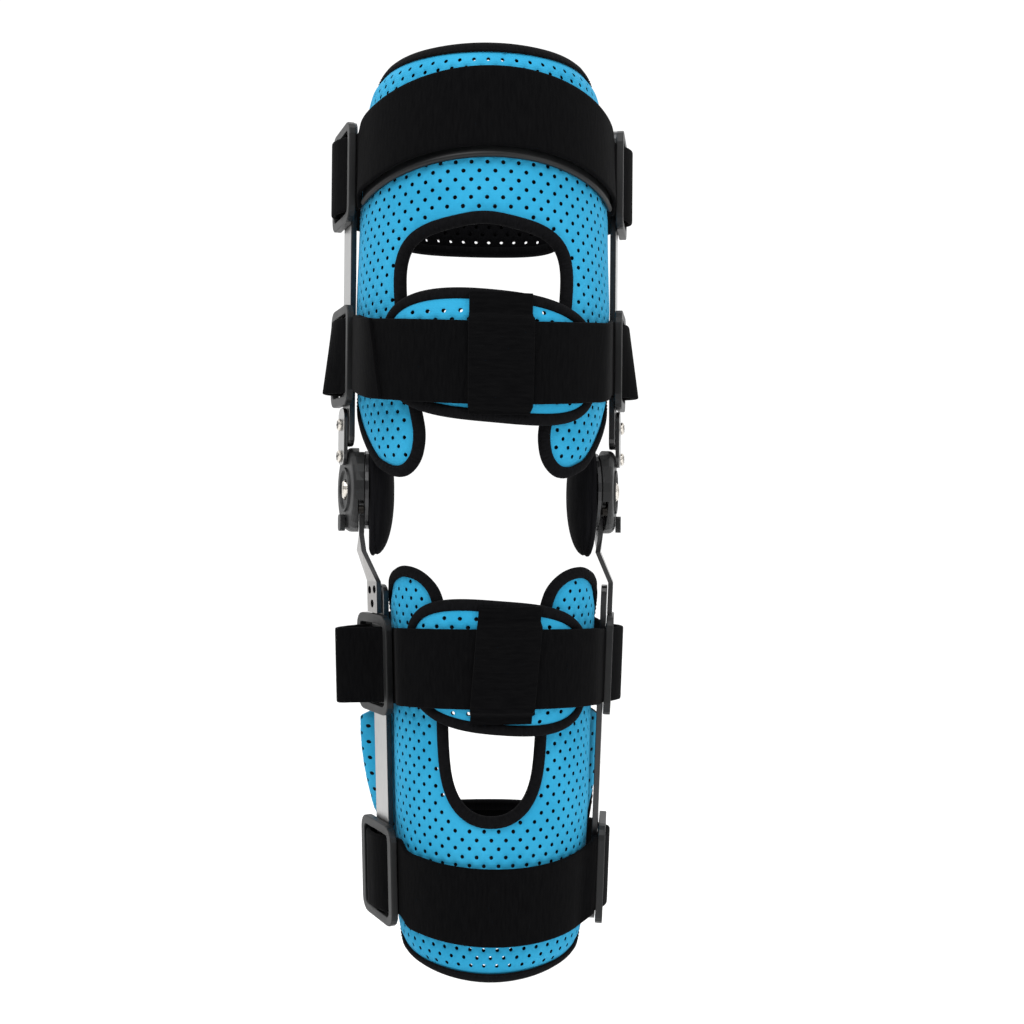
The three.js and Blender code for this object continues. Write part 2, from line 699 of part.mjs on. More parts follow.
function screwHead(height) {
  const seat = HINGE.plateThickness + 2 * GAP;
  const crown = seat + SCREW_HEIGHT;
  const shoulder = [[SCREW_RADIUS, crown - SCREW_CHAMFER], [SCREW_RADIUS - SCREW_CHAMFER, crown]];
  const profile = [[0, seat], [SCREW_RADIUS, seat], ...shoulder, [0, crown]];
  return turned(profile, 12).translate(0, 0, height);
}

function stopTab() {
  const { tabWidth, tabTop, tabFoot, tabThickness } = HINGE;
  const shape = new THREE.Shape();
  roundedBox(shape, -tabWidth / 2, tabFoot, tabWidth, tabTop - tabFoot, tabWidth / 3);
  return plate(shape, GAP, tabThickness);
}

// Hinge pieces on the knee axis, on the right-hand side
function hingeCover() {
  const { coverRadius, coverInnerReach, coverDepth: depth, rimRound, rimSteps } = HINGE;
  const { ringRadius, ringWidth, ringProud, ringSlope } = HINGE;
  const rim = Array.from({ length: rimSteps + 1 }, (_, i) => {
    const angle = (Math.PI / 2) * (i / rimSteps);
    return [coverRadius - rimRound * (1 - Math.cos(angle)), -rimRound * (1 - Math.sin(angle))];
  });
  const profile = [
    [0, -depth],
    [coverRadius, -depth],
    ...rim,
    [ringRadius + ringWidth / 2, 0],
    [ringRadius + ringWidth / 2 - ringSlope, ringProud],
    [ringRadius - ringWidth / 2 + ringSlope, ringProud],
    [ringRadius - ringWidth / 2, 0],
    [0, 0],
  ];
  const dish = turned(profile, 28).rotateZ(-rad(THIGH.toe.right)).translate(THIGH.spread, 0, 0);
  const behind = new THREE.BoxGeometry(2 * depth, 4 * coverRadius, 4 * coverRadius);
  behind.translate(coverInnerReach - depth, 0, 0);
  const boreRadius = HINGE.pivotRadius + GAP;
  const headRadius = HINGE.pivotHeadRadius + GAP;
  const { pivotSeatReach } = HINGE;
  const bore = turned([[0, DRILL_FROM], [boreRadius, DRILL_FROM], [boreRadius, pivotSeatReach - GAP],
    [headRadius, pivotSeatReach - GAP], [headRadius, DRILL_TO], [0, DRILL_TO]], 16);
  const { skirtInset, skirtThickness, skirtFront, skirtFoot, armInnerReach } = HINGE;
  const skirtOuter = coverRadius - skirtInset;
  const skirtInner = skirtOuter - skirtThickness;
  const skirtTop = coverInnerReach + skirtInset;
  const tube = turned([[skirtInner, armInnerReach], [skirtOuter, armInnerReach], [skirtOuter, skirtTop],
    [skirtInner, skirtTop], [skirtInner, armInnerReach]], 28);
  const ahead = new THREE.BoxGeometry(4 * coverRadius, 2 * coverRadius, 2 * coverRadius);
  ahead.translate(armInnerReach, skirtFront - coverRadius, skirtFoot + coverRadius);
  const skirt = solid(tube).intersect(solid(ahead));
  return surface(solid(dish).subtract(solid(behind)).add(skirt).subtract(solid(bore)));
}

function hingePivot() {
  const { pivotRadius, pivotHeadRadius, pivotHeadHeight, pivotChamfer } = HINGE;
  const { pivotSeatReach, innerPlateReach } = HINGE;
  const crown = pivotSeatReach + pivotHeadHeight;
  return turned([[0, innerPlateReach], [pivotRadius, innerPlateReach], [pivotRadius, pivotSeatReach],
    [pivotHeadRadius, pivotSeatReach], [pivotHeadRadius, crown - pivotChamfer],
    [pivotHeadRadius - pivotChamfer, crown], [0, crown]], 16);
}

function disc(radius, boreRadius, innerReach, thickness) {
  const shape = new THREE.Shape();
  shape.absarc(0, 0, radius, 0, 2 * Math.PI);
  const bore = new THREE.Path();
  bore.absarc(0, 0, boreRadius, 0, 2 * Math.PI);
  shape.holes.push(bore);
  const options = { depth: thickness, bevelEnabled: false, curveSegments: 14 };
  return new THREE.ExtrudeGeometry(shape, options).applyMatrix4(PLATE_AXES).translate(innerReach, 0, 0);
}

function stopPin() {
  const from = HINGE.innerPlateReach + HINGE.innerPlateThickness + GAP;
  const to = HINGE.coverInnerReach - GAP;
  const pin = turned([[0, from], [HINGE.stopPinRadius, from], [HINGE.stopPinRadius, to], [0, to]], 14);
  return pin.translate(0, HINGE.stopPinBack, HINGE.stopPinHeight);
}

function condylePad() {
  const { condyleHalfHeight, condyleHalfDepth, condyleThickness } = HINGE;
  const { condyleEdge, condyleFullness, condyleHeight, condyleChamfer, condyleSteps } = HINGE;
  const back = HINGE.innerPlateReach - GAP;
  const rim = [[condyleHalfHeight - condyleChamfer, back], [condyleHalfHeight, back - condyleChamfer]];
  const profile = [[0, back], ...rim];
  for (let i = 0; i <= condyleSteps; i += 1) {
    const angle = (Math.PI / 2) * (i / condyleSteps);
    const radius = condyleHalfHeight * Math.cos(angle) ** condyleFullness;
    const rise = condyleEdge + (condyleThickness - condyleEdge) * Math.sin(angle);
    profile.push([i === condyleSteps ? 0 : radius, back - rise]);
  }
  const dome = turned(profile.toReversed());
  return dome.scale(1, condyleHalfDepth / condyleHalfHeight, 1).translate(0, 0, condyleHeight);
}

function calfArm(side) {
  const { armInnerReach, armThickness, armHeadRadius, armWidth, pivotRadius } = HINGE;
  const headReach = armInnerReach + armThickness / 2;
  const seat = (height) => onBar(CALF, side, GAP + armThickness / 2, 0, height);
  const rows = [
    { at: new Vector3(side.sign * headReach, 0, ARM_ROOT), toe: 0 },
    { at: new Vector3(side.sign * headReach, 0, ARM_NECK), toe: 0 },
    { at: new Vector3(side.sign * headReach, 0, ARM_BEND_TOP), toe: ARM_NECK_TOE },
    { at: seat(ARM_BEND_FOOT), toe: CALF.toe[side.name] },
    { at: seat(ARM_FOOT), toe: CALF.toe[side.name] },
  ];
  const sections = rows.map(({ at, toe }) => {
    const out = new Vector3(side.sign * Math.cos(rad(toe)), -Math.sin(rad(toe)), 0);
    const back = new Vector3(side.sign * Math.sin(rad(toe)), Math.cos(rad(toe)), 0);
    const corner = (o, b) => at.clone()
      .addScaledVector(out, o * (armThickness / 2 - ARM_SINK))
      .addScaledVector(back, b * armWidth / 2);
    return [corner(1, -1), corner(1, 1), corner(-1, 1), corner(-1, -1)];
  });
  const head = disc(armHeadRadius, pivotRadius + GAP, armInnerReach, armThickness);
  const bore = turned([[0, DRILL_FROM], [pivotRadius + GAP, DRILL_FROM], [pivotRadius + GAP, DRILL_TO],
    [0, DRILL_TO]]);
  const onSide = (geometry) => (side.sign > 0 ? geometry : mirrored(geometry));
  let arm = solid(onSide(head)).add(solid(strip(sections))).subtract(solid(onSide(bore)));
  const frame = barFrame(CALF, side);
  ARM_HOLES.forEach(({ along, height }) => {
    const drill = turned([[0, -ARM_DRILL], [ARM_HOLE_RADIUS, -ARM_DRILL], [ARM_HOLE_RADIUS, ARM_DRILL],
      [0, ARM_DRILL]], 10);
    drill.translate(0, along, height - frame.position.z).applyMatrix4(frame.matrix);
    arm = arm.subtract(solid(drill));
  });
  return surface(arm);
}

// Assembly
const brace = new THREE.Group();
const thigh = new THREE.Group();
const calf = new THREE.Group();
brace.add(thigh, calf);
const halves = [
  { leg: THIGH, group: thigh, name: 'thigh' },
  { leg: CALF, group: calf, name: 'calf' },
];

halves.forEach(({ leg, group, name }) => {
  add(group, `${name}_wrap`, wrapPanel(leg), blueKnit);
  add(group, `${name}_wrap_binding`, wrapBinding(leg), blackBinding);
  addPair(group, leg, `${name}_upright`, sideBar(leg), blackMetal);
  const [topStrap, lowStrap] = STRAPS.filter((strap) => strap.leg === leg);
  addPair(group, leg, `${name}_top_ring`, guideRing(topStrap.ring), darkPlastic);
  addPair(group, leg, `${name}_low_ring`, guideRing(lowStrap.ring), darkPlastic);
  add(group, topStrap.name, strapBand(topStrap), loopFabric);
  add(group, lowStrap.name, strapBand(lowStrap), loopFabric);
  const frontPad = FRONT_PADS.find((pad) => pad.leg === leg);
  add(group, frontPad.name, frontPadPanel(frontPad), blueKnit);
  add(group, `${frontPad.name}_binding`, frontPadBinding(frontPad), blackBinding);
  add(group, frontPad.keeper, keeperSleeve(frontPad), loopFabric);
  const rearPad = BACK_PADS.find((pad) => pad.name === `${name}_back_pad`);
  add(group, rearPad.name, backPad(rearPad), blackBinding);
});

add(thigh, 'thigh_arch', archPlate(STRAPS[0]), darkPlastic);
addPair(thigh, THIGH, 'hinge_plate', hingePlate(), blackMetal);
addPair(thigh, THIGH, 'hinge_screw_upper', screwHead(HINGE.upperScrewHeight), brightSteel);
addPair(thigh, THIGH, 'hinge_screw_lower', screwHead(HINGE.lowerScrewHeight), brightSteel);
addPair(thigh, THIGH, 'hinge_tab', stopTab(), darkPlastic);
addAxlePair(thigh, 'hinge_cover', hingeCover(), darkPlastic);
addAxlePair(thigh, 'hinge_pivot', hingePivot(), brightSteel);
const innerPlate = disc(
  HINGE.innerPlateRadius,
  HINGE.pivotRadius + GAP,
  HINGE.innerPlateReach,
  HINGE.innerPlateThickness,
);
addAxlePair(thigh, 'hinge_inner_plate', innerPlate, blackMetal);
addAxlePair(thigh, 'hinge_stop_pin', stopPin(), brightSteel);
addAxlePair(thigh, 'condyle_pad', condylePad(), blackBinding);
sides.forEach((side) => add(calf, `calf_arm_${side.name}`, calfArm(side), greyMetal));

export default brace;
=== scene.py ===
"""Looks of a hinged knee brace: punched padded wraps, bound edges, strap loops, guide rings and hinges.

Shapes are worked out in millimetres on the leg that the brace is worn on, and made in metres in the
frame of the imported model: +X along the knee axis, +Y to the back of the knee, +Z up the thigh.
"""

import math

import bpy
import numpy as np
from mathutils import Matrix, Vector, noise
from mathutils.geometry import delaunay_2d_cdt


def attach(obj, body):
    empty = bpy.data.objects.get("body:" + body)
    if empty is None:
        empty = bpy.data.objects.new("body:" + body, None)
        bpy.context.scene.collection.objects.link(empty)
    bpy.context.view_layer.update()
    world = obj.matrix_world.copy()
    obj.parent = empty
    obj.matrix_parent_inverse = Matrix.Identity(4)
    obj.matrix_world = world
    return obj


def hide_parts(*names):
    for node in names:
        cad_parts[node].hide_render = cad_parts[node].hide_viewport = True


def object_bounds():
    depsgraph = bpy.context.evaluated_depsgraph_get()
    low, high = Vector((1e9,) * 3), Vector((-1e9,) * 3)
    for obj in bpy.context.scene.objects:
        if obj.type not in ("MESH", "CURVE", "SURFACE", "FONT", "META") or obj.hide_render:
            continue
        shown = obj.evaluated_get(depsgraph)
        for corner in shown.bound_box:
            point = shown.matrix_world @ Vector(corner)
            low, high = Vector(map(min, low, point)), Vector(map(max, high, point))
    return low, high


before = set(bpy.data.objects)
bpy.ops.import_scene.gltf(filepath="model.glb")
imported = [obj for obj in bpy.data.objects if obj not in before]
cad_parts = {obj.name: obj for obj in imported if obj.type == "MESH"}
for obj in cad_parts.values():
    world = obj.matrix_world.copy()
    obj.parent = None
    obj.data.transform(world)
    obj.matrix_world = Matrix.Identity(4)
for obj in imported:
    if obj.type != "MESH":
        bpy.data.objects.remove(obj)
cad_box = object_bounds()

MM = 0.001

# Sizes of the padding, the tape and the straps, in millimetres
GAP = 0.4
TAPE_WIDTH = 5.5
TAPE_TUCK = 2.0
EDGE_DIP = 1.2
EDGE_SOFTNESS = 3.0
HOLE_RADIUS = 1.0
HOLE_SIDES = 10
HOLE_ACROSS = 7.3
HOLE_UP = 4.1
HOLE_DIMPLE = 0.35
DIMPLE_RADIUS = 1.8
BARE_BORDER = 7
STRAP_WIDTH = 38.0
STRAP_THICKNESS = 2.2
PAD_THICKNESS = 5.0
PAD_LIFT = 1.0
FRONT_ROUNDNESS = 2.9
BACK_ROUNDNESS = 5.0
KEEPER_THICKNESS = 1.4
BINDING_SINK = 0.6

# One half of the brace. Bars stand at spread from the middle, toed to the front and leaning in.
# toe: of the right and the left bar
# sections: height, half width, front, back of the wrap's outside
# outline: one side of the wrap's U, as turn and height of the window's edge and of the outer rim
# flare: where the free cloth stands out behind the bars, as turns, heights, and reach at the right and
# the left
THIGH = dict(
    centre=0, toe=(14, 14), lean=0, spread=69.7, wrap_turn=-4.5, bar_top=187, bar_foot=22,
    sections=[
        (0, 61, 60, 52), (20, 62.6, 62.5, 53), (60, 64.6, 66, 54), (110, 64.6, 67.5, 54),
        (160, 62.6, 67, 54), (185, 61, 65.5, 53), (200, 57.8, 63.2, 51), (212, 51.5, 59, 47),
    ],
    outline=[
        (0, 123.5, 0, 210.5), (13, 121.5, 24, 210.6), (25, 118.5, 48, 211), (33, 113.5, 70, 211),
        (36.3, 105, 90, 208.5), (36.3, 93, 102, 199), (34.8, 78, 105, 172), (32, 60, 104, 130),
        (28.7, 41, 103, 85), (26.2, 27, 101, 57), (28, 15.5, 94, 44), (33, 8.7, 84, 35),
        (39, 5.8, 69, 22), (46, 6.2, 57, 10.5),
    ],
    flare=None,
)
CALF = dict(
    centre=6.5, toe=(11, 22), lean=1.8, spread=59.5, wrap_turn=-4.4, bar_top=-48, bar_foot=-219,
    sections=[
        (-36, 56.6, 43, 48), (-49, 53.6, 43.4, 48), (-90, 51.4, 44, 48), (-150, 50.2, 44, 47),
        (-195, 48.2, 42.5, 45), (-215, 47.4, 41.3, 43.5), (-230, 44.2, 39.2, 41), (-242, 38, 34.5, 35.5),
    ],
    outline=[
        (0, -157, 0, -239.5), (9.6, -155.5, 22, -238.8), (18, -149.5, 45, -236.8),
        (23.3, -139, 68, -234.2), (25.5, -123, 88, -231), (26, -105, 101, -221.5),
        (26, -90, 108, -197), (26, -76, 119, -169),
        (26, -64, 133, -140), (27.5, -55, 121, -111), (31.5, -46.5, 107, -78), (38.5, -40.5, 95, -57),
        (47, -37.8, 81, -46.3), (56, -37.3, 67.5, -40.3),
    ],
    flare=dict(turns=(95, 115), top=(-109, -119), foot=(-244, -124), reach=(13, -21.5)),
)

# Straps: middle line at the front, at the rings and at the back, lift off the wrap, the turn where it
# leaves the leg, depth behind the knee axis, bow out of the right and left rings, flare of the bow
STRAPS = {
    "thigh_top_strap": dict(leg=THIGH, front=177, ring=159, rear=160, lift=4.3, last_turn=70,
                            depth=58, bow=(6.6, 6.6), flare=0),
    "thigh_low_strap": dict(leg=THIGH, front=58, ring=67.5, rear=80, lift=7.6, last_turn=51,
                            depth=47, bow=(8, 8), flare=2.6),
    "calf_top_strap": dict(leg=CALF, front=-85, ring=-88, rear=-81, lift=7.6, last_turn=55,
                           depth=47, bow=(8, 21), flare=0),
    "calf_low_strap": dict(leg=CALF, front=-200, ring=-193, rear=-197, lift=2.5, last_turn=58,
                           depth=50, bow=(5, 5), flare=0),
}
# How a strap threads a ring: place along the ring, height over the bar, share of the bow
THREADING = [
    (-20.6, -1.5, 0), (-16, -1.5, 0), (-11.6, 0.8, 0), (-7.6, 2.9, 0.04), (-2.6, 2.2, 0.5),
    (2.8, 0, 1), (8, 1.6, 0.6), (11.4, 2.1, 0), (14.8, -1.5, 0), (20.6, -2.2, 0),
]
FRONT_SHARES = (0, 0.2, 0.4, 0.6, 0.8, 1)
REAR_ANGLES = range(18, 163, 18)

# Oval pads behind the middle straps, with the sleeve that keeps each strap on its pad
FRONT_PADS = {
    "thigh_front_pad": dict(leg=THIGH, height=61.5, half_turn=49, half_height=30.5, tilt=-4.5,
                            strap="thigh_low_strap", keeper="thigh_pad_keeper", keeper_turn=2.2,
                            keeper_half_turn=11.8, keeper_top=90, keeper_foot=34.5, slant=0),
    "calf_front_pad": dict(leg=CALF, height=-85, half_turn=54, half_height=32, tilt=-4.5,
                           strap="calf_top_strap", keeper="calf_pad_keeper", keeper_turn=2,
                           keeper_half_turn=15, keeper_top=-55.5, keeper_foot=-111, slant=2.2),
}
# Pads inside the outer straps at the back of the leg. bare: the border with no holes
BACK_PADS = {
    "thigh_back_pad": dict(strap="thigh_top_strap", height=160, half_height=29, first_angle=44,
                           bare=BARE_BORDER),
    "calf_back_pad": dict(strap="calf_low_strap", height=-197, half_height=28, first_angle=42, bare=12),
}
SIDES = {"right": 1, "left": -1}


# Places on the leg

def cubic(a, b, c, d, t):
    """A smooth value between b and c."""
    first, last = (c - a) / 2, (d - b) / 2
    return ((2 * t**3 - 3 * t**2 + 1) * b + (t**3 - 2 * t**2 + t) * first
            + (3 * t**2 - 2 * t**3) * c + (t**3 - t**2) * last)


def column(table, key, place):
    """A smooth reading of one column of a table, at a place between its rows."""
    last = len(table) - 1
    row = min(max(math.floor(place), 0), last - 1)
    a, b, c, d = (table[min(max(row + i, 0), last)][key] for i in (-1, 0, 1, 2))
    return cubic(a, b, c, d, place - row)


def section_at(leg, height):
    """Half width, front and back of the wrapped leg at a height."""
    table = leg["sections"]
    rising = 1 if table[1][0] > table[0][0] else -1
    row = 0
    while row < len(table) - 2 and rising * (height - table[row + 1][0]) > 0:
        row += 1
    place = row + (height - table[row][0]) / (table[row + 1][0] - table[row][0])
    place = min(max(place, 0), len(table) - 1)
    return [column(table, key, place) for key in (1, 2, 3)]


def eased_step(value, start, end):
    """Runs smoothly from 0 at start to 1 at end."""
    share = min(max((value - start) / (end - start), 0), 1)
    return share * share * (3 - 2 * share)


def flare_at(leg, turn, height):
    """How far the free cloth stands out to its side."""
    flare = leg["flare"]
    if not flare:
        return 0
    reach = flare["reach"][turn < 0] * eased_step(abs(turn), *flare["turns"])
    return reach * eased_step(height, *flare["top"]) * eased_step(height, *flare["foot"])


def on_leg(leg, turn, height, lift):
    """A point on the wrapped leg: degrees round from the front, height, and lift off the wrap's face."""
    half_width, front, back = section_at(leg, height)
    across, ahead = math.sin(math.radians(turn)), math.cos(math.radians(turn))
    depth = front if ahead > 0 else back
    normal = Vector((across / half_width, -ahead / depth)).normalized()
    return Vector((leg["centre"] + half_width * across + lift * normal.x + flare_at(leg, turn, height),
                   -depth * ahead + lift * normal.y, height))


def bar_frame(leg, sign):
    """The side bar's own axes: X out of its outer face, Y to the back, Z up."""
    place = Matrix.Translation((leg["centre"] + sign * leg["spread"], 0, min(leg["bar_top"], 0)))
    lean = Matrix.Rotation(sign * math.radians(leg["lean"]), 4, "Y")
    toe = Matrix.Rotation(-sign * math.radians(leg["toe"][sign < 0]), 4, "Z")
    return place @ lean @ toe


def on_bar(leg, sign, over, along, height):
    """A point near a side bar: height over its outer face, place along the ring, height up the leg."""
    return bar_frame(leg, sign) @ Vector((sign * over, along, height - min(leg["bar_top"], 0)))


# How soon a strap turns from its line at the front to its line at the rings
STRAP_BEND = 1.2


def strap_height(strap, turn):
    """The middle line of a strap's front, between its height at the front and at the rings."""
    rise = max(math.cos(math.radians(turn)), 0) ** STRAP_BEND
    return strap["ring"] + (strap["front"] - strap["ring"]) * rise


def on_rear(strap, angle, inset, height=None):
    """A point on the strap's plain way round the back of the leg, inset towards the leg."""
    along, over, _ = THREADING[-1]
    right, left = (on_bar(strap["leg"], sign, over, along, strap["ring"]) for sign in (1, -1))
    middle = (right + left) / 2
    half_width, depth = (right.x - left.x) / 2, strap["depth"] - middle.y
    across, behind = math.cos(math.radians(angle)), math.sin(math.radians(angle))
    outward = Vector((across / half_width, behind / depth, 0)).normalized()
    if height is None:
        height = strap["ring"] + (strap["rear"] - strap["ring"]) * behind
    place = Vector((middle.x + half_width * across, middle.y + depth * behind, height))
    return place - outward * inset


# Materials

def linear(hex_colour):
    """An sRGB hex colour as linear light."""
    parts = [int(hex_colour[i:i + 2], 16) / 255 for i in (1, 3, 5)]
    return [c / 12.92 if c <= 0.04045 else ((c + 0.055) / 1.055) ** 2.4 for c in parts] + [1.0]


def add(tree, kind, inputs=None, **settings):
    """Adds a node with its settings, and with its inputs set or linked."""
    made = tree.nodes.new(kind)
    for key, value in settings.items():
        setattr(made, key, value)
    for socket, value in (inputs or {}).items():
        if isinstance(value, bpy.types.NodeSocket):
            tree.links.new(value, made.inputs[socket])
        else:
            made.inputs[socket].default_value = value
    return made


def new_finish(name):
    """An empty material, its node tree, and the coordinates of the cloth laid flat and of the object."""
    finish = bpy.data.materials.new(name)
    finish.use_nodes = True
    tree = finish.node_tree
    tree.nodes.clear()
    places = add(tree, "ShaderNodeTexCoord")
    return finish, tree, places.outputs["UV"], places.outputs["Object"]


def close_finish(tree, shader):
    """Puts the shader on the material's surface."""
    add(tree, "ShaderNodeOutputMaterial", {"Surface": shader.outputs["BSDF"]})


def two_tones(tree, factor, dark, light, low=0.3, high=0.7):
    """A colour that drifts between two tones with a pattern."""
    ramp = add(tree, "ShaderNodeValToRGB", {"Fac": factor})
    ramp.color_ramp.elements[0].position = low
    ramp.color_ramp.elements[1].position = high
    ramp.color_ramp.elements[0].color = linear(dark)
    ramp.color_ramp.elements[1].color = linear(light)
    return ramp.outputs["Color"]


# Spacing of the bands of the wave texture at a scale of 1
WAVE_REPEAT = 0.314


def knit_face_blue():
    """Warp-knitted nylon on foam: matt, clear blue, a shade deeper in patches, with fine wales."""
    wale = 1.5 * MM  # real wales are near 0.6 mm and would not show at this distance
    drift = 30 * MM
    finish, tree, flat, _ = new_finish("nylon_knit_blue")
    wales = add(tree, "ShaderNodeTexWave",
                {"Vector": flat, "Scale": WAVE_REPEAT / wale, "Distortion": 1.2, "Detail": 1.0,
                 "Detail Scale": 1.4}, bands_direction="X")
    courses = add(tree, "ShaderNodeTexWave", {"Vector": flat, "Scale": WAVE_REPEAT / (0.8 * wale)},
                  bands_direction="Y")
    knit = add(tree, "ShaderNodeMath", {0: wales.outputs["Fac"], 1: courses.outputs["Fac"]},
               operation="MULTIPLY")
    patches = add(tree, "ShaderNodeTexNoise", {"Vector": flat, "Scale": 1 / drift, "Detail": 3.0})
    tone = two_tones(tree, patches.outputs["Fac"], "#2590ba", "#319cc6")
    bump = add(tree, "ShaderNodeBump",
               {"Height": knit.outputs[0], "Strength": 0.35, "Distance": 0.2 * MM})
    shader = add(tree, "ShaderNodeBsdfPrincipled", {
        "Base Color": tone, "Roughness": 0.85, "Sheen Weight": 0.05, "Sheen Roughness": 0.4,
        "Specular IOR Level": 0.1, "Normal": bump.outputs["Normal"]})
    close_finish(tree, shader)
    return finish


def cloth_black(name, thread, dark, light, strength, streak):
    """Black nylon cloth: matt and deep, with faint streaks where the pile or the threads lie over."""
    finish, tree, flat, _ = new_finish(name)
    drawn = add(tree, "ShaderNodeMapping", {"Vector": flat, "Scale": streak})
    pile = add(tree, "ShaderNodeTexNoise",
               {"Vector": drawn.outputs["Vector"], "Scale": 1 / thread, "Detail": 4.0})
    tone = two_tones(tree, pile.outputs["Fac"], dark, light)
    bump = add(tree, "ShaderNodeBump",
               {"Height": pile.outputs["Fac"], "Strength": strength, "Distance": 0.3 * MM})
    shader = add(tree, "ShaderNodeBsdfPrincipled", {
        "Base Color": tone, "Roughness": 0.92, "Sheen Weight": 0.01, "Sheen Roughness": 0.5,
        "Specular IOR Level": 0.05, "Normal": bump.outputs["Normal"]})
    close_finish(tree, shader)
    return finish


def satin_skin(name, grain, drift, tones, rough, detail, strength, look):
    """A moulded or coated skin: its tone and gloss drift a little, over a fine grain."""
    finish, tree, _, place = new_finish(name)
    fine = add(tree, "ShaderNodeTexNoise", {"Vector": place, "Scale": 1 / grain, "Detail": detail})
    cloud = add(tree, "ShaderNodeTexNoise", {"Vector": place, "Scale": 1 / drift, "Detail": 3.0})
    tone = two_tones(tree, cloud.outputs["Fac"], *tones)
    skin = add(tree, "ShaderNodeMapRange",
               {"Value": cloud.outputs["Fac"], "To Min": rough[0], "To Max": rough[1]})
    bump = add(tree, "ShaderNodeBump",
               {"Height": fine.outputs["Fac"], "Strength": strength, "Distance": 0.05 * MM})
    shader = add(tree, "ShaderNodeBsdfPrincipled", {
        "Base Color": tone, "Roughness": skin.outputs["Result"], "Normal": bump.outputs["Normal"],
        **look})
    close_finish(tree, shader)
    return finish


def brushed_metal(name, dark, light, rough_low, rough_high, stretch):
    """Bare metal with fine brushing or turning marks, so that highlights streak a little."""
    scratch = 0.35 * MM
    finish, tree, _, place = new_finish(name)
    drawn = add(tree, "ShaderNodeMapping", {"Vector": place, "Scale": stretch})
    marks = add(tree, "ShaderNodeTexNoise",
                {"Vector": drawn.outputs["Vector"], "Scale": 1 / scratch, "Detail": 2.0})
    tone = two_tones(tree, marks.outputs["Fac"], dark, light)
    skin = add(tree, "ShaderNodeMapRange",
               {"Value": marks.outputs["Fac"], "To Min": rough_low, "To Max": rough_high})
    bump = add(tree, "ShaderNodeBump",
               {"Height": marks.outputs["Fac"], "Strength": 0.06, "Distance": 0.03 * MM})
    shader = add(tree, "ShaderNodeBsdfPrincipled", {
        "Base Color": tone, "Metallic": 1.0, "Roughness": skin.outputs["Result"],
        "Normal": bump.outputs["Normal"]})
    close_finish(tree, shader)
    return finish


KNIT_BLUE = knit_face_blue()
# Brushed lining inside the wraps and on the condyle pads: soft, with no direction
LINING = cloth_black("brushed_nylon_lining", 0.9 * MM, "#08080a", "#111113", 0.4, (1, 1, 1))
# Binding tape: ribbed along its length
TAPE = cloth_black("nylon_binding_tape", 0.8 * MM, "#070708", "#101012", 0.5, (1, 0.2, 1))
# Loop webbing: the deepest black, its pile brushed along the strap
WEBBING = cloth_black("nylon_loop_webbing", 1.2 * MM, "#030304", "#080809", 0.6, (1, 0.15, 1))
# Sewing thread: a shade lighter than the tape that it lies on
THREAD = cloth_black("bonded_nylon_thread", 0.3 * MM, "#0c0c0e", "#161618", 0.3, (1, 1, 1))
# Moulded plastic: near-black grey with a satin skin and a fine spark-eroded grain
PLASTIC = satin_skin("glass_filled_nylon", 0.5 * MM, 14 * MM, ("#090a0b", "#101112"), (0.38, 0.52),
                     2.0, 0.15, {"Specular IOR Level": 0.32})
# Coat of the bars: black, semi-gloss, with a slight orange peel that softens reflections. On the calf
# arms the same black covers the edges as painted shade
BAR_COAT_AND_ARM_EDGE_SHADE = satin_skin("powder_coat_and_arm_edge_shade", 1.6 * MM, 25 * MM, ("#121214", "#1a1a1c"), (0.24, 0.34),
                      1.0, 0.08, {"Metallic": 0.25, "Coat Weight": 0.3, "Coat Roughness": 0.25})
# Outer faces of the bars: pale grey, a painted reflection of the bright room on the black bars, brushed
# along their length. Outer faces of the arms: the arms' own metal, brushed the same way
PAINTED_BAR_REFLECTION = brushed_metal("painted_bar_reflection", "#a2a2a2", "#b2b2b1", 0.3, 0.4, (1, 1, 0.05))
ARM_METAL = brushed_metal("anodised_aluminium", "#8d8b8a", "#a5a3a1", 0.26, 0.36, (1, 1, 0.05))
# Stop pins: blackened steel, dull and dark. Cross recesses of the screws: the same dark as painted shade
# in their hollows
DARK_STEEL_AND_RECESS_SHADE = brushed_metal("blackened_steel_and_recess_shade", "#1b1a19", "#2a2826", 0.4, 0.55, (1, 1, 1))
# Screws and pivots: bright, a little warm
STEEL = brushed_metal("zinc_plated_steel", "#c4beb6", "#d9d4cc", 0.18, 0.3, (1, 1, 1))


# Cloth pieces

def new_piece(name, points, faces, uvs, finishes, body, slot, finish_of=None):
    """A piece from points in millimetres, turned the right way out, riding on a body."""
    places = np.array(points, float) * MM
    fans = [(f[0], f[i], f[i + 1]) for f in faces for i in range(1, len(f) - 1)]
    a, b, c = (places[[fan[i] for fan in fans]] for i in range(3))
    if np.einsum("ij,ij->", a, np.cross(b, c)) < 0:
        faces = [tuple(reversed(f)) for f in faces]
        uvs = [tuple(reversed(u)) for u in uvs]
    mesh = bpy.data.meshes.new(name)
    mesh.from_pydata(places.tolist(), [], faces)
    cloth = mesh.uv_layers.new(name="flat_cloth")
    flat = np.array([place for face in uvs for place in face], float) * MM
    cloth.data.foreach_set("uv", flat.ravel())
    for finish in finishes:
        mesh.materials.append(finish)
    if finish_of:
        mesh.polygons.foreach_set("material_index", finish_of)
    piece = bpy.data.objects.new(name, mesh)
    bpy.context.scene.collection.objects.link(piece)
    smooth(piece)
    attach(piece, body)
    return piece


def smooth(piece, angle=50):
    """Smooth shading that keeps edges sharper than an angle."""
    bpy.ops.object.select_all(action="DESELECT")
    piece.select_set(True)
    bpy.context.view_layer.objects.active = piece
    bpy.ops.object.shade_smooth_by_angle(angle=math.radians(angle))


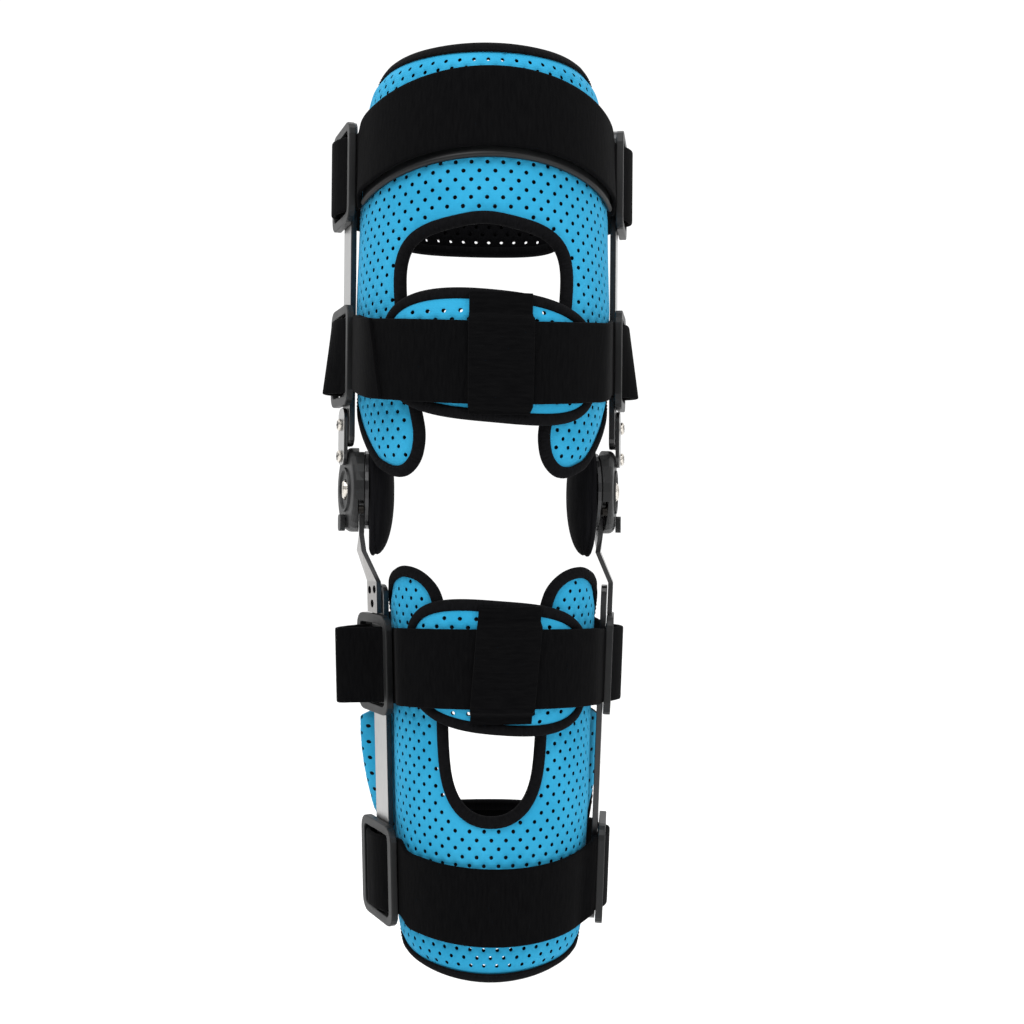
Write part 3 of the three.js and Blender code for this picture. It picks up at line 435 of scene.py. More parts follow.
def swept(rows, looped):
    """Faces and flat places of the cloth over rows of points, each row a closed section."""
    count, around = len(rows), len(rows[0])
    middles = [sum(row, Vector()) / around for row in rows]
    spans = count if looped else count - 1
    along = [0.0]
    for i in range(spans):
        along.append(along[-1] + (middles[(i + 1) % count] - middles[i]).length)
    across = [0.0]
    for j in range(around):
        across.append(across[-1] + (rows[0][(j + 1) % around] - rows[0][j]).length)
    faces, uvs = [], []
    for i in range(spans):
        for j in range(around):
            near, far, side = i * around, (i + 1) % count * around, (j + 1) % around
            faces.append((near + j, far + j, far + side, near + side))
            uvs.append(((along[i], across[j]), (along[i + 1], across[j]),
                        (along[i + 1], across[j + 1]), (along[i], across[j + 1])))
    if not looped:
        for start, reach in ((0, 0.0), ((count - 1) * around, along[-1])):
            cap = range(start, start + around)
            faces.append(tuple(reversed(cap)) if start == 0 else tuple(cap))
            uvs.append(tuple((reach, across[j]) for j in range(around)))
    return [place for row in rows for place in row], faces, uvs


# Outlines on the cloth laid flat, in millimetres across and up

def resampled(loop, spacing):
    """A closed outline with its points the same distance apart."""
    loop = np.array(loop, float)
    steps = np.linalg.norm(np.roll(loop, -1, 0) - loop, axis=1)
    reach = np.concatenate([[0], np.cumsum(steps)])
    count = max(8, round(reach[-1] / spacing))
    wanted = np.arange(count) * reach[-1] / count
    closed = np.vstack([loop, loop[:1]])
    return np.column_stack([np.interp(wanted, reach, closed[:, k]) for k in (0, 1)])


def eased(loop, passes):
    """A closed outline with its corners rounded off."""
    for _ in range(passes):
        loop = (np.roll(loop, 1, 0) + 2 * loop + np.roll(loop, -1, 0)) / 4
    return loop


def inward_of(loop):
    """The inward direction at each point of a closed outline."""
    along = np.roll(loop, -1, 0) - np.roll(loop, 1, 0)
    along /= np.linalg.norm(along, axis=1)[:, None]
    after = np.roll(loop, -1, 0)
    area = (loop[:, 0] * after[:, 1] - after[:, 0] * loop[:, 1]).sum()
    return np.sign(area) * np.column_stack([-along[:, 1], along[:, 0]])


def inside(points, loop):
    """Which points lie inside a closed outline."""
    after = np.roll(loop, -1, 0)
    result = np.zeros(len(points), bool)
    for (x0, y0), (x1, y1) in zip(loop, after):
        if y0 == y1:
            continue
        crosses = (y0 > points[:, 1]) != (y1 > points[:, 1])
        result ^= crosses & (points[:, 0] < (x1 - x0) * (points[:, 1] - y0) / (y1 - y0) + x0)
    return result


def distance_to(points, loop):
    """How far each point lies from a closed outline."""
    nearest = np.full(len(points), np.inf)
    for start, end in zip(loop, np.roll(loop, -1, 0)):
        span = end - start
        share = np.clip(((points - start) @ span) / (span @ span), 0, 1)
        nearest = np.minimum(nearest, np.linalg.norm(points - start - share[:, None] * span, axis=1))
    return nearest


OUTLINE_SPACING = 2.0
OUTLINE_PASSES = 3
FINE_STEPS = 10


def leg_scale(leg):
    """Millimetres of cloth for each degree round the leg."""
    foot, top = (section_at(leg, leg[end])[0] for end in ("bar_foot", "bar_top"))
    return math.radians(1) * (foot + top) / 2


def wrap_outline(leg):
    """The wrap's whole U on the flat cloth, the window's edge first."""
    rows = leg["outline"]
    count = (len(rows) - 1) * FINE_STEPS

    def read(turn_key, height_key):
        table = [(-rows[1][turn_key], rows[1][height_key])]
        table += [(row[turn_key], row[height_key]) for row in rows]
        for i in range(-count, count + 1):
            place = abs(i) / FINE_STEPS + 1
            side = (i > 0) - (i < 0)
            turn = leg["wrap_turn"] + side * column(table, 0, place)
            yield turn * leg_scale(leg), column(table, 1, place)

    loop = list(read(0, 1)) + list(read(2, 3))[::-1]
    return eased(resampled(loop, OUTLINE_SPACING), OUTLINE_PASSES)


OVAL_STEPS = 180


def oval_outline(roundness, half_width, half_height, height, tilt=0):
    """A rounded oval on the flat cloth."""
    slope = math.tan(math.radians(tilt))
    loop = []
    for i in range(OVAL_STEPS):
        angle = 2 * math.pi * i / OVAL_STEPS
        u, v = (math.copysign(abs(k) ** (2 / roundness), k) for k in (math.cos(angle), math.sin(angle)))
        loop.append((u * half_width, height + v * half_height + slope * u * half_width))
    return resampled(loop, OUTLINE_SPACING)


def staggered_holes(outline, bare):
    """Centres of the punched holes, in staggered rows that leave a border bare."""
    low, high = outline.min(0), outline.max(0)
    rows = range(math.floor(low[1] / HOLE_UP), math.ceil(high[1] / HOLE_UP) + 1)
    places = range(math.floor(low[0] / HOLE_ACROSS) - 1, math.ceil(high[0] / HOLE_ACROSS) + 2)
    grid = np.array([((i + row % 2 / 2) * HOLE_ACROSS, row * HOLE_UP) for row in rows for i in places])
    grid = grid[inside(grid, outline)]
    return grid[distance_to(grid, outline) > bare]


# Rows of points inside a panel's edge, and how far they keep from the holes' dimples and from the edge
EDGE_ROWS = (3.7, TAPE_WIDTH, 7.5, 10)
DIMPLE_CLEARANCE = 0.6
EDGE_CLEARANCE = 0.8


def ring_of(centre, radius):
    """Points round a punched hole."""
    turns = 2 * math.pi * np.arange(HOLE_SIDES) / HOLE_SIDES
    return centre + radius * np.column_stack([np.cos(turns), np.sin(turns)])


def punched_pad(name, surface, outline, face_lift, body, slot, relief, bare):
    """A padded panel: knit face and lining on foam, thinned at its bound edge and punched through."""
    inward = inward_of(outline)
    edge = resampled(outline + TAPE_TUCK * inward, OUTLINE_SPACING)
    centres = staggered_holes(outline, bare)
    holes = [ring_of(centre, HOLE_RADIUS) for centre in centres]
    flat = [edge] + holes
    constraints = [(i, (i + 1) % len(edge)) for i in range(len(edge))]
    for k in range(len(holes)):
        start = len(edge) + k * HOLE_SIDES
        constraints += [(start + i, start + (i + 1) % HOLE_SIDES) for i in range(HOLE_SIDES)]
    ring_count = sum(map(len, flat))
    for centre in centres:
        flat.append(ring_of(centre, DIMPLE_RADIUS))
        flat.append(np.array([centre + (HOLE_ACROSS / 2, 0)]))
    for inset in EDGE_ROWS:
        band = resampled(outline + inset * inward, OUTLINE_SPACING)
        nearest = np.linalg.norm(band[:, None] - centres[None], axis=2).min(1)
        flat.append(band[nearest > DIMPLE_RADIUS + DIMPLE_CLEARANCE])
    flat = np.vstack(flat)
    keep = np.ones(len(flat), bool)
    loose = flat[ring_count:]
    keep[ring_count:] = inside(loose, edge) & (distance_to(loose, edge) > EDGE_CLEARANCE)
    flat = flat[keep]
    found, _, triangles, sources, _, _ = delaunay_2d_cdt(
        [Vector(p) for p in flat], constraints, [], 0, 1e-6, True)
    found = np.array([tuple(p) for p in found])
    source = np.array([ids[0] if ids else -1 for ids in sources])
    on_ring = (source >= len(edge)) & (source < ring_count)
    hole_of = np.where(on_ring, (source - len(edge)) // HOLE_SIDES, -1)
    triangles = np.array(triangles)
    owners = hole_of[triangles]
    in_hole = (owners[:, 0] >= 0) & (owners[:, 0] == owners[:, 1]) & (owners[:, 0] == owners[:, 2])
    on_cloth = inside(found[triangles].mean(1), edge)
    triangles = triangles[~in_hole & on_cloth]
    to_edge = np.maximum(distance_to(found, outline), TAPE_WIDTH) - TAPE_WIDTH
    dip = EDGE_DIP * np.exp(-(to_edge / EDGE_SOFTNESS) ** 2) + HOLE_DIMPLE * (hole_of >= 0)
    dip = dip + np.array([relief(x, y) for x, y in found])
    outer = [surface(x, y, face_lift - d) for (x, y), d in zip(found, dip)]
    shallow = np.minimum(dip, EDGE_DIP + HOLE_DIMPLE)
    inner = [surface(x, y, face_lift - PAD_THICKNESS + d) for (x, y), d in zip(found, shallow)]
    return closed_panel(name, found, outer, inner, triangles, body, slot)


def closed_panel(name, flat, outer, inner, triangles, body, slot):
    """Closes two matching faces of triangles along every open edge."""
    count = len(flat)
    directed = {(t[i], t[(i + 1) % 3]) for t in triangles.tolist() for i in range(3)}
    open_edges = [(a, b) for a, b in directed if (b, a) not in directed]
    faces = [tuple(t) for t in triangles.tolist()]
    faces += [tuple(count + i for i in reversed(t)) for t in triangles.tolist()]
    faces += [(b, a, count + a, count + b) for a, b in sorted(open_edges)]
    uvs = [tuple(tuple(flat[i % count]) for i in face) for face in faces]
    finish_of = [0] * len(triangles) + [1] * (len(triangles) + len(open_edges))
    return new_piece(name, outer + inner, faces, uvs, [KNIT_BLUE, LINING], body, slot, finish_of)


# Section of the folded tape: inset from the free edge and height from the middle of the padding, from
# the fold to the sewn edge, first outside and then back along the inside of the fold
TAPE_OUTSIDE = [
    (0, 0), (0.1, 0.8), (0.6, 1.8), (1.6, 2.6), (3.0, 2.95), (4.4, 2.7), (5.2, 2.3), (5.5, 1.9),
]
TAPE_INSIDE = [(5.4, 1.4), (4.2, 1.62), (2.8, 1.6), (1.5, 1.45), (0.9, 0.7), (0.8, 0)]


def bound_edge(name, surface, outline, face_lift, body):
    """Binding tape folded over the padding's edge all the way round."""
    upper = TAPE_OUTSIDE + TAPE_INSIDE
    section = upper + [(inset, -height) for inset, height in reversed(upper) if height]
    middle = face_lift - PAD_THICKNESS / 2
    rows = []
    for place, inward in zip(outline, inward_of(outline)):
        spots = [(place + inset * inward, middle + height) for inset, height in section]
        rows.append([surface(x, y, lift) for (x, y), lift in spots])
    return new_piece(name, *swept(rows, True), [TAPE], body, "binding_black")


def bound_pad(name, surface, outline, face_lift, tape_lift, body, slot, relief, bare=BARE_BORDER):
    """A padded panel in place of its plain solid, with the tape that binds its edge."""
    padding = punched_pad(f"{name}_padding", surface, outline, face_lift, body, slot, relief, bare)
    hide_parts(name)
    tape = bound_edge(f"{name}_tape", surface, outline, tape_lift, body)
    if f"{name}_binding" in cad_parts:
        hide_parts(f"{name}_binding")


STITCH_LENGTH = 2.4
STITCH_PITCH = 3.2
STITCH_RADIUS = 0.28
STITCH_INSET = 4.5
STITCH_SIDES = 6
STITCH_LIFT = 0.2
STITCH_SINK = 0.25
# A stitch's section: share of its half length from its middle, share of its radius
STITCH_SHAPE = [(-1, 0.35), (-0.6, 1), (0, 1.1), (0.6, 1), (1, 0.35)]


def stitch_line(name, surface, outline, body):
    """Lockstitches along the sewn edge of the tape, their ends sunk in the cloth."""
    loop = resampled(outline, STITCH_PITCH)
    inward = inward_of(loop)
    points, faces, uvs = [], [], []
    for place, towards in zip(loop, inward):
        ahead = np.array([towards[1], -towards[0]]) * STITCH_LENGTH / 2
        spot = place + STITCH_INSET * towards
        back, front = (surface(*(spot + k * ahead), STITCH_LIFT) for k in (-1, 1))
        out = (surface(*spot, STITCH_LIFT + 1) - surface(*spot, STITCH_LIFT)).normalized()
        side = (front - back).normalized().cross(out)
        rows = []
        for share, girth in STITCH_SHAPE:
            middle = (back + front) / 2 + (front - back) / 2 * share - out * STITCH_SINK * share**2
            angles = [2 * math.pi * k / STITCH_SIDES for k in range(STITCH_SIDES)]
            rows.append([middle + STITCH_RADIUS * girth * (out * math.cos(a) + side * math.sin(a))
                         for a in angles])
        more, more_faces, more_uvs = swept(rows, False)
        faces += [tuple(i + len(points) for i in face) for face in more_faces]
        points += more
        uvs += more_uvs
    new_piece(name, points, faces, uvs, [THREAD], body, "binding_black")


# Wraps

# Pleats over the window's peak: offset from its middle, and lean for each millimetre up
PLEATS = [(-3.4, -0.35), (0, 0.0), (3.2, 0.3)]
PLEAT_DEPTH = 0.7
PLEAT_WIDTH = 1.3
PLEAT_RISE = 12.0
SEAM_TURN = 4.5
SEAM_FOOT = 196.0
SEAM_DEPTH = 0.6
SEAM_WIDTH = 0.9
SAG_SIZE = 38.0
SAG_DEPTH = 0.7


def soft_sag(x, y):
    """The foam's slow hollows, so that the face isn't drawn with a ruler."""
    return SAG_DEPTH * abs(noise.noise((x / SAG_SIZE, y / SAG_SIZE, 0.5)))


def thigh_relief(x, y):
    """Pleats that gather the cloth over the window's peak, and the seam at the middle of the top."""
    dip = soft_sag(x, y)
    scale = leg_scale(THIGH)
    middle, window_top = THIGH["wrap_turn"] * scale, THIGH["outline"][0][1]
    up = y - window_top
    if up > 0:
        fade = math.exp(-(up / PLEAT_RISE) ** 2)
        for start, lean in PLEATS:
            off = x - middle - start - lean * up
            dip += PLEAT_DEPTH * fade * math.exp(-(off / PLEAT_WIDTH) ** 2)
    if y > SEAM_FOOT:
        dip += SEAM_DEPTH * math.exp(-((x - SEAM_TURN * scale) / SEAM_WIDTH) ** 2)
    return dip


def make_wrap(body, leg, relief):
    """A padded wrap on one half of the leg, with its bound and stitched edge."""
    scale = leg_scale(leg)

    def surface(x, y, lift):
        return on_leg(leg, x / scale, y, lift)

    outline = wrap_outline(leg)
    bound_pad(f"{body}_wrap", surface, outline, 0, 0, body, "knit_blue", relief)
    stitch_line(f"{body}_wrap_stitches", surface, outline, body)


# Pads

def make_front_pad(name, pad, body):
    """An oval pad between a middle strap and the wrap, with its bound edge."""
    leg = pad["leg"]
    scale = math.radians(1) * section_at(leg, pad["height"])[0]

    def surface(x, y, lift):
        return on_leg(leg, x / scale, y, lift)

    outline = oval_outline(FRONT_ROUNDNESS, pad["half_turn"] * scale, pad["half_height"], pad["height"],
                           pad["tilt"])
    face_lift = PAD_LIFT + PAD_THICKNESS
    bound_pad(name, surface, outline, face_lift, face_lift - BINDING_SINK, body, "knit_blue", soft_sag)


def make_back_pad(name, pad, body):
    """A pad inside an outer strap at the back of the leg, with its bound edge."""
    strap = STRAPS[pad["strap"]]
    near_face = STRAP_THICKNESS / 2 + GAP
    half_angle = 90 - pad["first_angle"]
    span = (on_rear(strap, 89, near_face) - on_rear(strap, 91, near_face)).length / 2

    def surface(x, y, lift):
        return on_rear(strap, 90 - x / span, near_face - lift, y)

    outline = oval_outline(BACK_ROUNDNESS, half_angle * span, pad["half_height"], pad["height"])
    bound_pad(name, surface, outline, -BINDING_SINK, -BINDING_SINK, body, "pad_black", soft_sag,
              pad["bare"])


# Straps

STEPS_PER_STATION = 8
# Section of the webbing: share of its width from the middle, share of its half thickness
WEBBING_EDGE = [(0.9, 1.0), (0.96, 0.96), (0.985, 0.75), (1.0, 0.0)]


def strap_stations(strap):
    """Top and bottom edges of the strap's loop: front, right ring, back, left ring, front."""
    leg, half = strap["leg"], STRAP_WIDTH / 2
    stations = []

    def front(turn):
        middle = strap_height(strap, turn)
        stations.append([on_leg(leg, turn, middle + up, strap["lift"]) for up in (half, -half)])

    def ring(sign, row):
        along, over, share = row
        bow, spread = over + share * strap["bow"][sign < 0], share * strap["flare"]
        stations.append([on_bar(leg, sign, bow - k * spread, along, strap["ring"] + k * half)
                         for k in (1, -1)])

    for share in FRONT_SHARES:
        front(share * strap["last_turn"])
    for row in THREADING:
        ring(1, row)
    for angle in REAR_ANGLES:
        middle = on_rear(strap, angle, 0)
        stations.append([middle + Vector((0, 0, up)) for up in (half, -half)])
    for row in reversed(THREADING):
        ring(-1, row)
    for share in reversed(FRONT_SHARES[1:]):
        front(-share * strap["last_turn"])
    return stations


def loop_curve(points, step_count):
    """Places on a smooth closed curve through points, evenly many between each pair."""
    count = len(points)
    places = []
    for i in range(count):
        p = [points[(i + k) % count] for k in (-1, 0, 1, 2)]
        d = [math.sqrt((p[k + 1] - p[k]).length) for k in range(3)]
        first = ((p[1] - p[0]) / d[0] - (p[2] - p[0]) / (d[0] + d[1]) + (p[2] - p[1]) / d[1]) * d[1]
        last = ((p[2] - p[1]) / d[1] - (p[3] - p[1]) / (d[1] + d[2]) + (p[3] - p[2]) / d[2]) * d[1]
        for step in range(step_count):
            t = step / step_count
            places.append((2 * t**3 - 3 * t**2 + 1) * p[1] + (t**3 - 2 * t**2 + t) * first
                          + (3 * t**2 - 2 * t**3) * p[2] + (t**3 - t**2) * last)
    return places


def webbing_section():
    """Places round the strap's section: share across from -1 to 1, and share of its half thickness."""
    flat = [(k / 4, 1.0) for k in range(-3, 4)]
    outside = [(-across, out) for across, out in reversed(WEBBING_EDGE)] + flat + WEBBING_EDGE
    inside_face = [(across, -out) for across, out in reversed(outside) if out]
    return outside + inside_face


def band_rows(tops, bottoms, outs, half_thickness):
    """Sections of a webbing band between its two edges."""
    section = webbing_section()
    rows = []
    for top, bottom, out in zip(tops, bottoms, outs):
        middle, reach = (top + bottom) / 2, (top - bottom) / 2
        rows.append([middle + reach * across + out * half_thickness * thick for across, thick in section])
    return rows


def make_strap(name, strap, body):
    """One whole loop of webbing through both rings."""
    stations = strap_stations(strap)
    tops, bottoms = (loop_curve([s[k] for s in stations], STEPS_PER_STATION) for k in (0, 1))
    middles = [(top + bottom) / 2 for top, bottom in zip(tops, bottoms)]
    count = len(middles)
    along = [middles[(i + 1) % count] - middles[i - 1] for i in range(count)]
    outs = [Vector((step.y, -step.x, 0)).normalized() for step in along]
    rows = band_rows(tops, bottoms, outs, STRAP_THICKNESS / 2)
    piece = new_piece(f"{name}_webbing", *swept(rows, True), [WEBBING], body, "strap_black")
    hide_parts(name)
    return tops, bottoms, outs


# The free end of the low thigh strap: stations of its loop where it comes out of the left ring, and
# where its upper and its lower edge are cut
END_FROM = 34.1
END_CUTS = (35.15, 35.6)
END_STEPS = 24


def between(places, station):
    """A place on a strap's loop, at a station that needn't be whole."""
    place = station * STEPS_PER_STATION
    row = math.floor(place)
    return places[row % len(places)].lerp(places[(row + 1) % len(places)], place - row)


def make_strap_end(name, tops, bottoms, outs, body):
    """The end of a strap, doubled back through the ring and pressed on its own face."""
    over = STRAP_THICKNESS + GAP / 2
    upper, lower, facing = [], [], []
    for i in range(END_STEPS + 1):
        high, low = (END_FROM + (cut - END_FROM) * i / END_STEPS for cut in END_CUTS)
        upper.append(between(tops, high) + between(outs, high) * over)
        lower.append(between(bottoms, low) + between(outs, low) * over)
        facing.append(between(outs, (high + low) / 2).normalized())
    rows = band_rows(upper, lower, facing, STRAP_THICKNESS / 2)
    middles = [(a + b) / 2 for a, b in zip(upper, lower)]
    length = sum((b - a).length for a, b in zip(middles, middles[1:]))
    piece = new_piece(f"{name}_end", *swept(rows, False), [WEBBING], body, "strap_black")


# The sleeve clears the strap's edges by an ease, and comes down to the pad over a ramp
KEEPER_EASE = 1.0
KEEPER_RAMP = 2.5
KEEPER_STEPS = 48


def make_keeper(pad, body):
    """The sleeve sewn to the pad at its top and foot, which the strap runs through."""
    leg, strap = pad["leg"], STRAPS[pad["strap"]]
    low = PAD_LIFT + PAD_THICKNESS + GAP
    high = low + STRAP_THICKNESS + 2 * GAP
    crest = STRAP_WIDTH / 2 + KEEPER_EASE
    foot, top = pad["keeper_foot"], pad["keeper_top"]
    middle = (foot + top) / 2
    section = webbing_section()
    rows = []
    for i in range(KEEPER_STEPS + 1):
        height = foot + (top - foot) * i / KEEPER_STEPS
        away = abs(height - strap["front"])
        climb = min(max((crest + KEEPER_RAMP - away) / KEEPER_RAMP, 0), 1)
        lift = low + (high - low) * climb * climb * (3 - 2 * climb) + KEEPER_THICKNESS / 2
        lean = pad["slant"] * (height - middle) / (top - middle)
        rows.append([on_leg(leg, pad["keeper_turn"] + lean + across * pad["keeper_half_turn"], height,
                            lift + thick * KEEPER_THICKNESS / 2) for across, thick in section])
    piece = new_piece(f"{pad['keeper']}_webbing", *swept(rows, False), [WEBBING], body, "strap_black")
    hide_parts(pad["keeper"])
    across = [place for place, thick in section if thick == 1]
    arc = [on_leg(leg, pad["keeper_turn"] + k * pad["keeper_half_turn"], middle, high) for k in across]
    width = sum((b - a).length for a, b in zip(arc, arc[1:]))


# Stiff plate under the top strap: share of its half height, and lift, round its section with a bead at
# the lower edge
ARCH_LAST_TURN = 70
ARCH_HALF_HEIGHT = 19.5
ARCH_DROP = 3.6
ARCH_STEPS = 96
ARCH_SECTION = [
    (1.0, 1.4), (0.98, 2.1), (0.9, 2.4), (0.5, 2.4), (0, 2.4), (-0.5, 2.4), (-0.86, 2.4),
    (-0.9, 2.9), (-0.95, 3.2), (-1.0, 3.0), (-1.03, 2.3), (-1.03, 1.4), (-1.0, 0.6), (-0.9, 0.4),
    (0, 0.4), (0.98, 0.5),
]


def make_arch():
    """The stiff plate across the front of the thigh."""
    strap = STRAPS["thigh_top_strap"]
    rows = []
    for i in range(ARCH_STEPS + 1):
        turn = ARCH_LAST_TURN * (2 * i / ARCH_STEPS - 1)
        middle = strap_height(strap, turn) - ARCH_DROP
        rows.append([on_leg(THIGH, turn, middle + up * ARCH_HALF_HEIGHT, lift)
                     for up, lift in ARCH_SECTION])
    piece = new_piece("thigh_arch_plate", *swept(rows, False), [PLASTIC], "thigh", "plastic_dark")
    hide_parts("thigh_arch")


# Section of a condyle pad, from its back to its crown: share of its half size, height off the hinge
CONDYLE_BACK = [
    (0.05, -0.35), (0.5, -0.35), (0.9, -0.3), (0.965, 0.4), (0.995, 1.1), (1.0, 1.9), (0.99, 2.5),
    (0.972, 2.8),
]
CONDYLE_SHOULDER = 0.985
CONDYLE_FULLNESS = 0.9
CONDYLE_REACH = 57.0
CONDYLE_THICKNESS = 12.4
CONDYLE_EDGE = 3.0
CONDYLE_HEIGHT = -1.6
CONDYLE_HALF_HEIGHT = 32.0
CONDYLE_HALF_DEPTH = 20.0
CONDYLE_STEPS = 14
CONDYLE_SIDES = 64


def make_condyle_pad(side):
    """A soft domed pad inside the hinge, with a welted seam round its edge."""
    section = list(CONDYLE_BACK)
    for i in range(1, CONDYLE_STEPS):
        angle = math.pi / 2 * i / CONDYLE_STEPS
        rise = CONDYLE_EDGE + (CONDYLE_THICKNESS - CONDYLE_EDGE) * math.sin(angle)
        section.append((CONDYLE_SHOULDER * math.cos(angle) ** CONDYLE_FULLNESS, rise))
    turns = [2 * math.pi * k / CONDYLE_SIDES for k in range(CONDYLE_SIDES)]
    rows = []
    for share, rise in section:
        reach = SIDES[side] * (CONDYLE_REACH - rise)
        deep, tall = share * CONDYLE_HALF_DEPTH, share * CONDYLE_HALF_HEIGHT
        rows.append([Vector((reach, deep * math.cos(turn), CONDYLE_HEIGHT + tall * math.sin(turn)))
                     for turn in turns])
    piece = new_piece(f"condyle_cushion_{side}", *swept(rows, False), [LINING], "thigh", "pad_black")
    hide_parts(f"condyle_pad_{side}")


make_wrap("thigh", THIGH, thigh_relief)
make_wrap("calf", CALF, soft_sag)
for pad_name, pad in FRONT_PADS.items():
    make_front_pad(pad_name, pad, pad_name.split("_")[0])
    make_keeper(pad, pad_name.split("_")[0])
for pad_name, pad in BACK_PADS.items():
    make_back_pad(pad_name, pad, pad_name.split("_")[0])
for strap_name, strap in STRAPS.items():
    edges = make_strap(strap_name, strap, strap_name.split("_")[0])
    if strap_name == "thigh_low_strap":
        make_strap_end(strap_name, *edges, "thigh")
make_arch()
for side in SIDES:
    make_condyle_pad(side)


# Hard pieces

WELD_DISTANCE = 0.002
SHARP_ANGLE = 30
# A face of a bar looks outwards if its normal points this much along the knee axis
OUTWARD = 0.8


def finish_node(name, finish, bevel):
    """Gives a hard piece of the frame its finish and eased edges."""
    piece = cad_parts[name]
    piece.data.materials.clear()
    piece.data.materials.append(finish)
    weld = piece.modifiers.new("weld", "WELD")
    weld.merge_threshold = WELD_DISTANCE * MM
    ease = piece.modifiers.new("eased_edges", "BEVEL")
    ease.width = bevel * MM
    ease.segments = 3
    ease.limit_method = "ANGLE"
    ease.angle_limit = math.radians(SHARP_ANGLE)


def brighten_face(name, metal):
    """Gives the outer face of a bar or arm a pale metal finish: a painted reflection on the black bars,
    the metal itself on the arms, whose black edges are painted shade.
    """
    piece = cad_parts[name]
    piece.data.materials.append(metal)
    sign = SIDES[name.split("_")[-1]]
    for face in piece.data.polygons:
        if face.normal.x * sign > OUTWARD:
            face.material_index = 1


HARD_FINISHES = {
    "upright": (BAR_COAT_AND_ARM_EDGE_SHADE, 0.5), "ring": (PLASTIC, 0.9), "hinge_plate": (BAR_COAT_AND_ARM_EDGE_SHADE, 0.4),
    "hinge_screw": (STEEL, 0.2), "hinge_tab": (PLASTIC, 0.4), "hinge_cover": (PLASTIC, 0.5),
    "hinge_pivot": (STEEL, 0.3), "hinge_inner_plate": (BAR_COAT_AND_ARM_EDGE_SHADE, 0.3),
    # The calf arms' black edges are painted shade
    "hinge_stop_pin": (DARK_STEEL_AND_RECESS_SHADE, 0.2), "calf_arm": (BAR_COAT_AND_ARM_EDGE_SHADE, 0.4),
}
# Pale outer faces: painted reflection on the bars and hinge plates, the arms' own metal on the arms
PALE_FACE_FINISHES = {"upright": PAINTED_BAR_REFLECTION, "hinge_plate": PAINTED_BAR_REFLECTION, "calf_arm": ARM_METAL}
for node_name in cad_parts:
    for words, (finish, bevel) in HARD_FINISHES.items():
        if words in node_name and not node_name.endswith(("strap", "wrap")):
            finish_node(node_name, finish, bevel)
            break
    for words, metal in PALE_FACE_FINISHES.items():
        if words in node_name:
            brighten_face(node_name, metal)


# Washer between the hinge's cover and its inner plate: radius and reach round its section
WASHER_SECTION = [
    (15.6, 59.42), (19.7, 59.42), (19.9, 59.55), (19.9, 59.65), (19.7, 59.78), (15.6, 59.78),
]
WASHER_SIDES = 96


def make_washer(side):
    """The nylon washer that keeps the arm from rubbing on the hinge's inner plate."""
    rows = []
    for k in range(WASHER_SIDES):
        turn = 2 * math.pi * k / WASHER_SIDES
        rows.append([Vector((SIDES[side] * reach, radius * math.cos(turn), radius * math.sin(turn)))
                     for radius, reach in WASHER_SECTION])
    new_piece(f"hinge_washer_{side}", *swept(rows, True), [PLASTIC], "thigh", "plastic_dark")


# Cross recesses of the screws: length and width of an arm, depth, size of the eased edge
RECESS = (3.8, 1.0, 0.3, 0.12)
SCREW_HEIGHTS = {"upper": 33.0, "lower": 17.0}
SCREW_CROWN = 4.4
PIVOT_CROWN = 71.2


def make_recess(name, place, toe):
    """The dark cross that a driver fits, seen on the crown of a screw: a solid cross whose dark is
    painted shade of the hollow.
    """
    length, width, depth, ease = RECESS
    bpy.ops.object.select_all(action="DESELECT")
    bpy.ops.mesh.primitive_cube_add(size=1)
    cross = bpy.context.object
    cross.name = name
    bpy.context.tool_settings.mesh_select_mode = (False, False, True)
    bpy.ops.object.mode_set(mode="EDIT")
    bpy.ops.mesh.select_all(action="SELECT")
    bpy.ops.transform.resize(value=(depth * MM, width * MM, width * MM), center_override=(0, 0, 0))
    bpy.ops.mesh.select_all(action="DESELECT")
    bpy.ops.object.mode_set(mode="OBJECT")
    for face in cross.data.polygons:
        face.select = abs(face.normal.x) < 0.5
    bpy.ops.object.mode_set(mode="EDIT")
    bpy.ops.mesh.extrude_faces_move(TRANSFORM_OT_shrink_fatten={"value": (length - width) / 2 * MM})
    bpy.ops.mesh.select_all(action="SELECT")
    bpy.ops.transform.rotate(value=toe, orient_axis="Z", center_override=(0, 0, 0))
    bpy.ops.transform.translate(value=place * MM)
    bpy.ops.object.mode_set(mode="OBJECT")
    soften = cross.modifiers.new("eased_edges", "BEVEL")
    soften.width = ease * MM
    soften.segments = 2
    bpy.ops.object.modifier_apply(modifier=soften.name)
    # The dark finish here is painted shade of the recess
    cross.data.materials.append(DARK_STEEL_AND_RECESS_SHADE)
    smooth(cross, SHARP_ANGLE)
    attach(cross, "thigh")


for side, sign in SIDES.items():
    toe = math.radians(THIGH["toe"][sign < 0])
    for word, height in SCREW_HEIGHTS.items():
        crown = on_bar(THIGH, sign, SCREW_CROWN, 0, height)
        make_recess(f"screw_recess_{word}_{side}", crown, sign * toe)
    make_recess(f"pivot_recess_{side}", Vector((sign * PIVOT_CROWN, 0, 0)), 0)
    make_washer(side)


# Floor, light and camera

FLOOR_DROP = 60.0
FLOOR_SIZE = 6.0
CAMERA_DISTANCE = 640.0
CAMERA_AZIMUTH = -4.5
CAMERA_ELEVATION = -0.6
CAMERA_ROLL = 0.5
CAMERA_LENS = 43.7
# The knee's middle stands this share of the picture's width left of and above the picture's middle
FRAME_SHIFT = (0.030, -0.0205)


